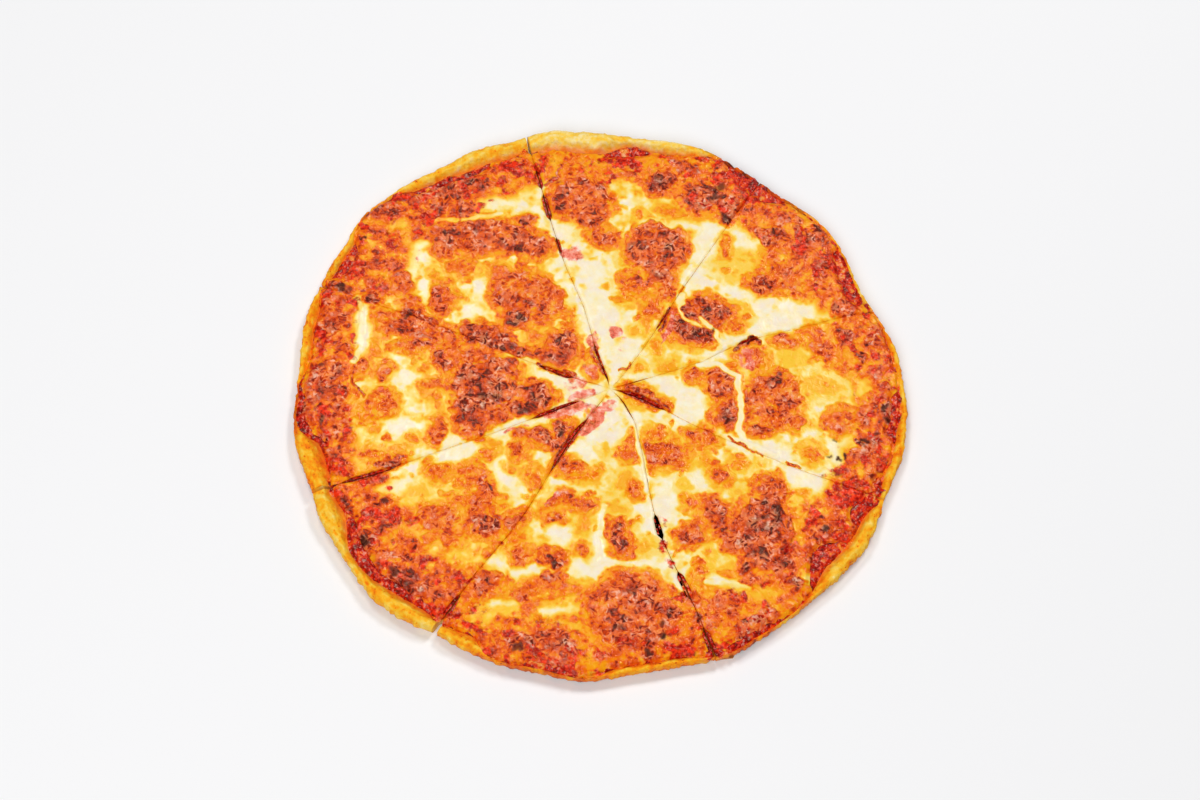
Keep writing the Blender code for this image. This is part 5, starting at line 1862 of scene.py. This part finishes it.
def make_crust(k):
    """One slice of the crust, with its rim."""
    under, outline, on_rim = crust_outline(k)
    inner = graded_points(outline, CRUST_STEP, 500 + k, lambda x, y: inside_rim(x, y) < FINE_FROM_FOOT)
    lid = np.vstack([outline, inner])
    top = rim_height(*lid.T)
    walls = crust_walls(under, outline, on_rim, top[:len(outline)])
    beneath = clear_of(under, honeycomb(under, UNDERSIDE_STEP, 520 + k), UNDERSIDE_STEP)
    dimple = 0.25 * ease(0.1, 0.7, ripples(*beneath.T, 9, 174))
    piece = slab(f"crust_slice_{k}", walls, outline, inner, top, np.column_stack([beneath, dimple]))
    x, y, z = points_of(piece)
    cut_wall = np.concatenate([np.tile(1 - on_rim, len(walls)), np.zeros(len(lid) + len(beneath))])
    paint(piece, toast=toasted(x, y, z, cut_wall), dry=ease(2.8, 0.4, z),
          stain=oil_stain(x, y, z), burnt=burnt_rim(x, y, z))
    return piece


for k in SLICES:
    settle(make_crust(k), [f"crust_{k}"], CRUST)
print("crust slices:", len(SLICES))

# %% [markdown]
# ## Floor and light
# A pale floor and soft light from above and behind, as in the photograph: the far light gives
# the fat its small bright glints, and the wide one keeps the shadows soft.

# %% Floor and lights
def make_floor():
    """A wide pale floor, for the picture only."""
    bpy.ops.mesh.primitive_plane_add(size=6)
    floor = bpy.context.object
    floor.name = "floor"
    material, _, shader = new_material("pale floor")
    shader.inputs["Base Color"].default_value = (0.92, 0.92, 0.93, 1)
    shader.inputs["Roughness"].default_value = 0.7
    floor.data.materials.append(material)


def soft_light(name, place, size, power):
    """A square lamp that looks at the pizza."""
    lamp = bpy.data.lights.new(name, "AREA")
    lamp.size = size
    lamp.energy = power
    holder = bpy.data.objects.new(name, lamp)
    holder.location = place
    holder.rotation_euler = (-Vector(place)).to_track_quat("-Z", "Y").to_euler()
    bpy.context.scene.collection.objects.link(holder)


make_floor()
soft_light("window", (0.75, 1.15, 1.7), 0.5, 15.5)
soft_light("far window", (-0.55, 1.0, 1.8), 0.5, 11)
soft_light("fill", (-0.4, -1.3, 1.6), 1.5, 27)
world = bpy.data.worlds.new("studio")
world.use_nodes = True
sky = world.node_tree.nodes["Background"]
sky.inputs["Color"].default_value = (1.0, 0.99, 0.98, 1)
sky.inputs["Strength"].default_value = 0.15
bpy.context.scene.world = world
bpy.context.scene.view_settings.view_transform = "Standard"
print("lamps:", len(bpy.data.lights))
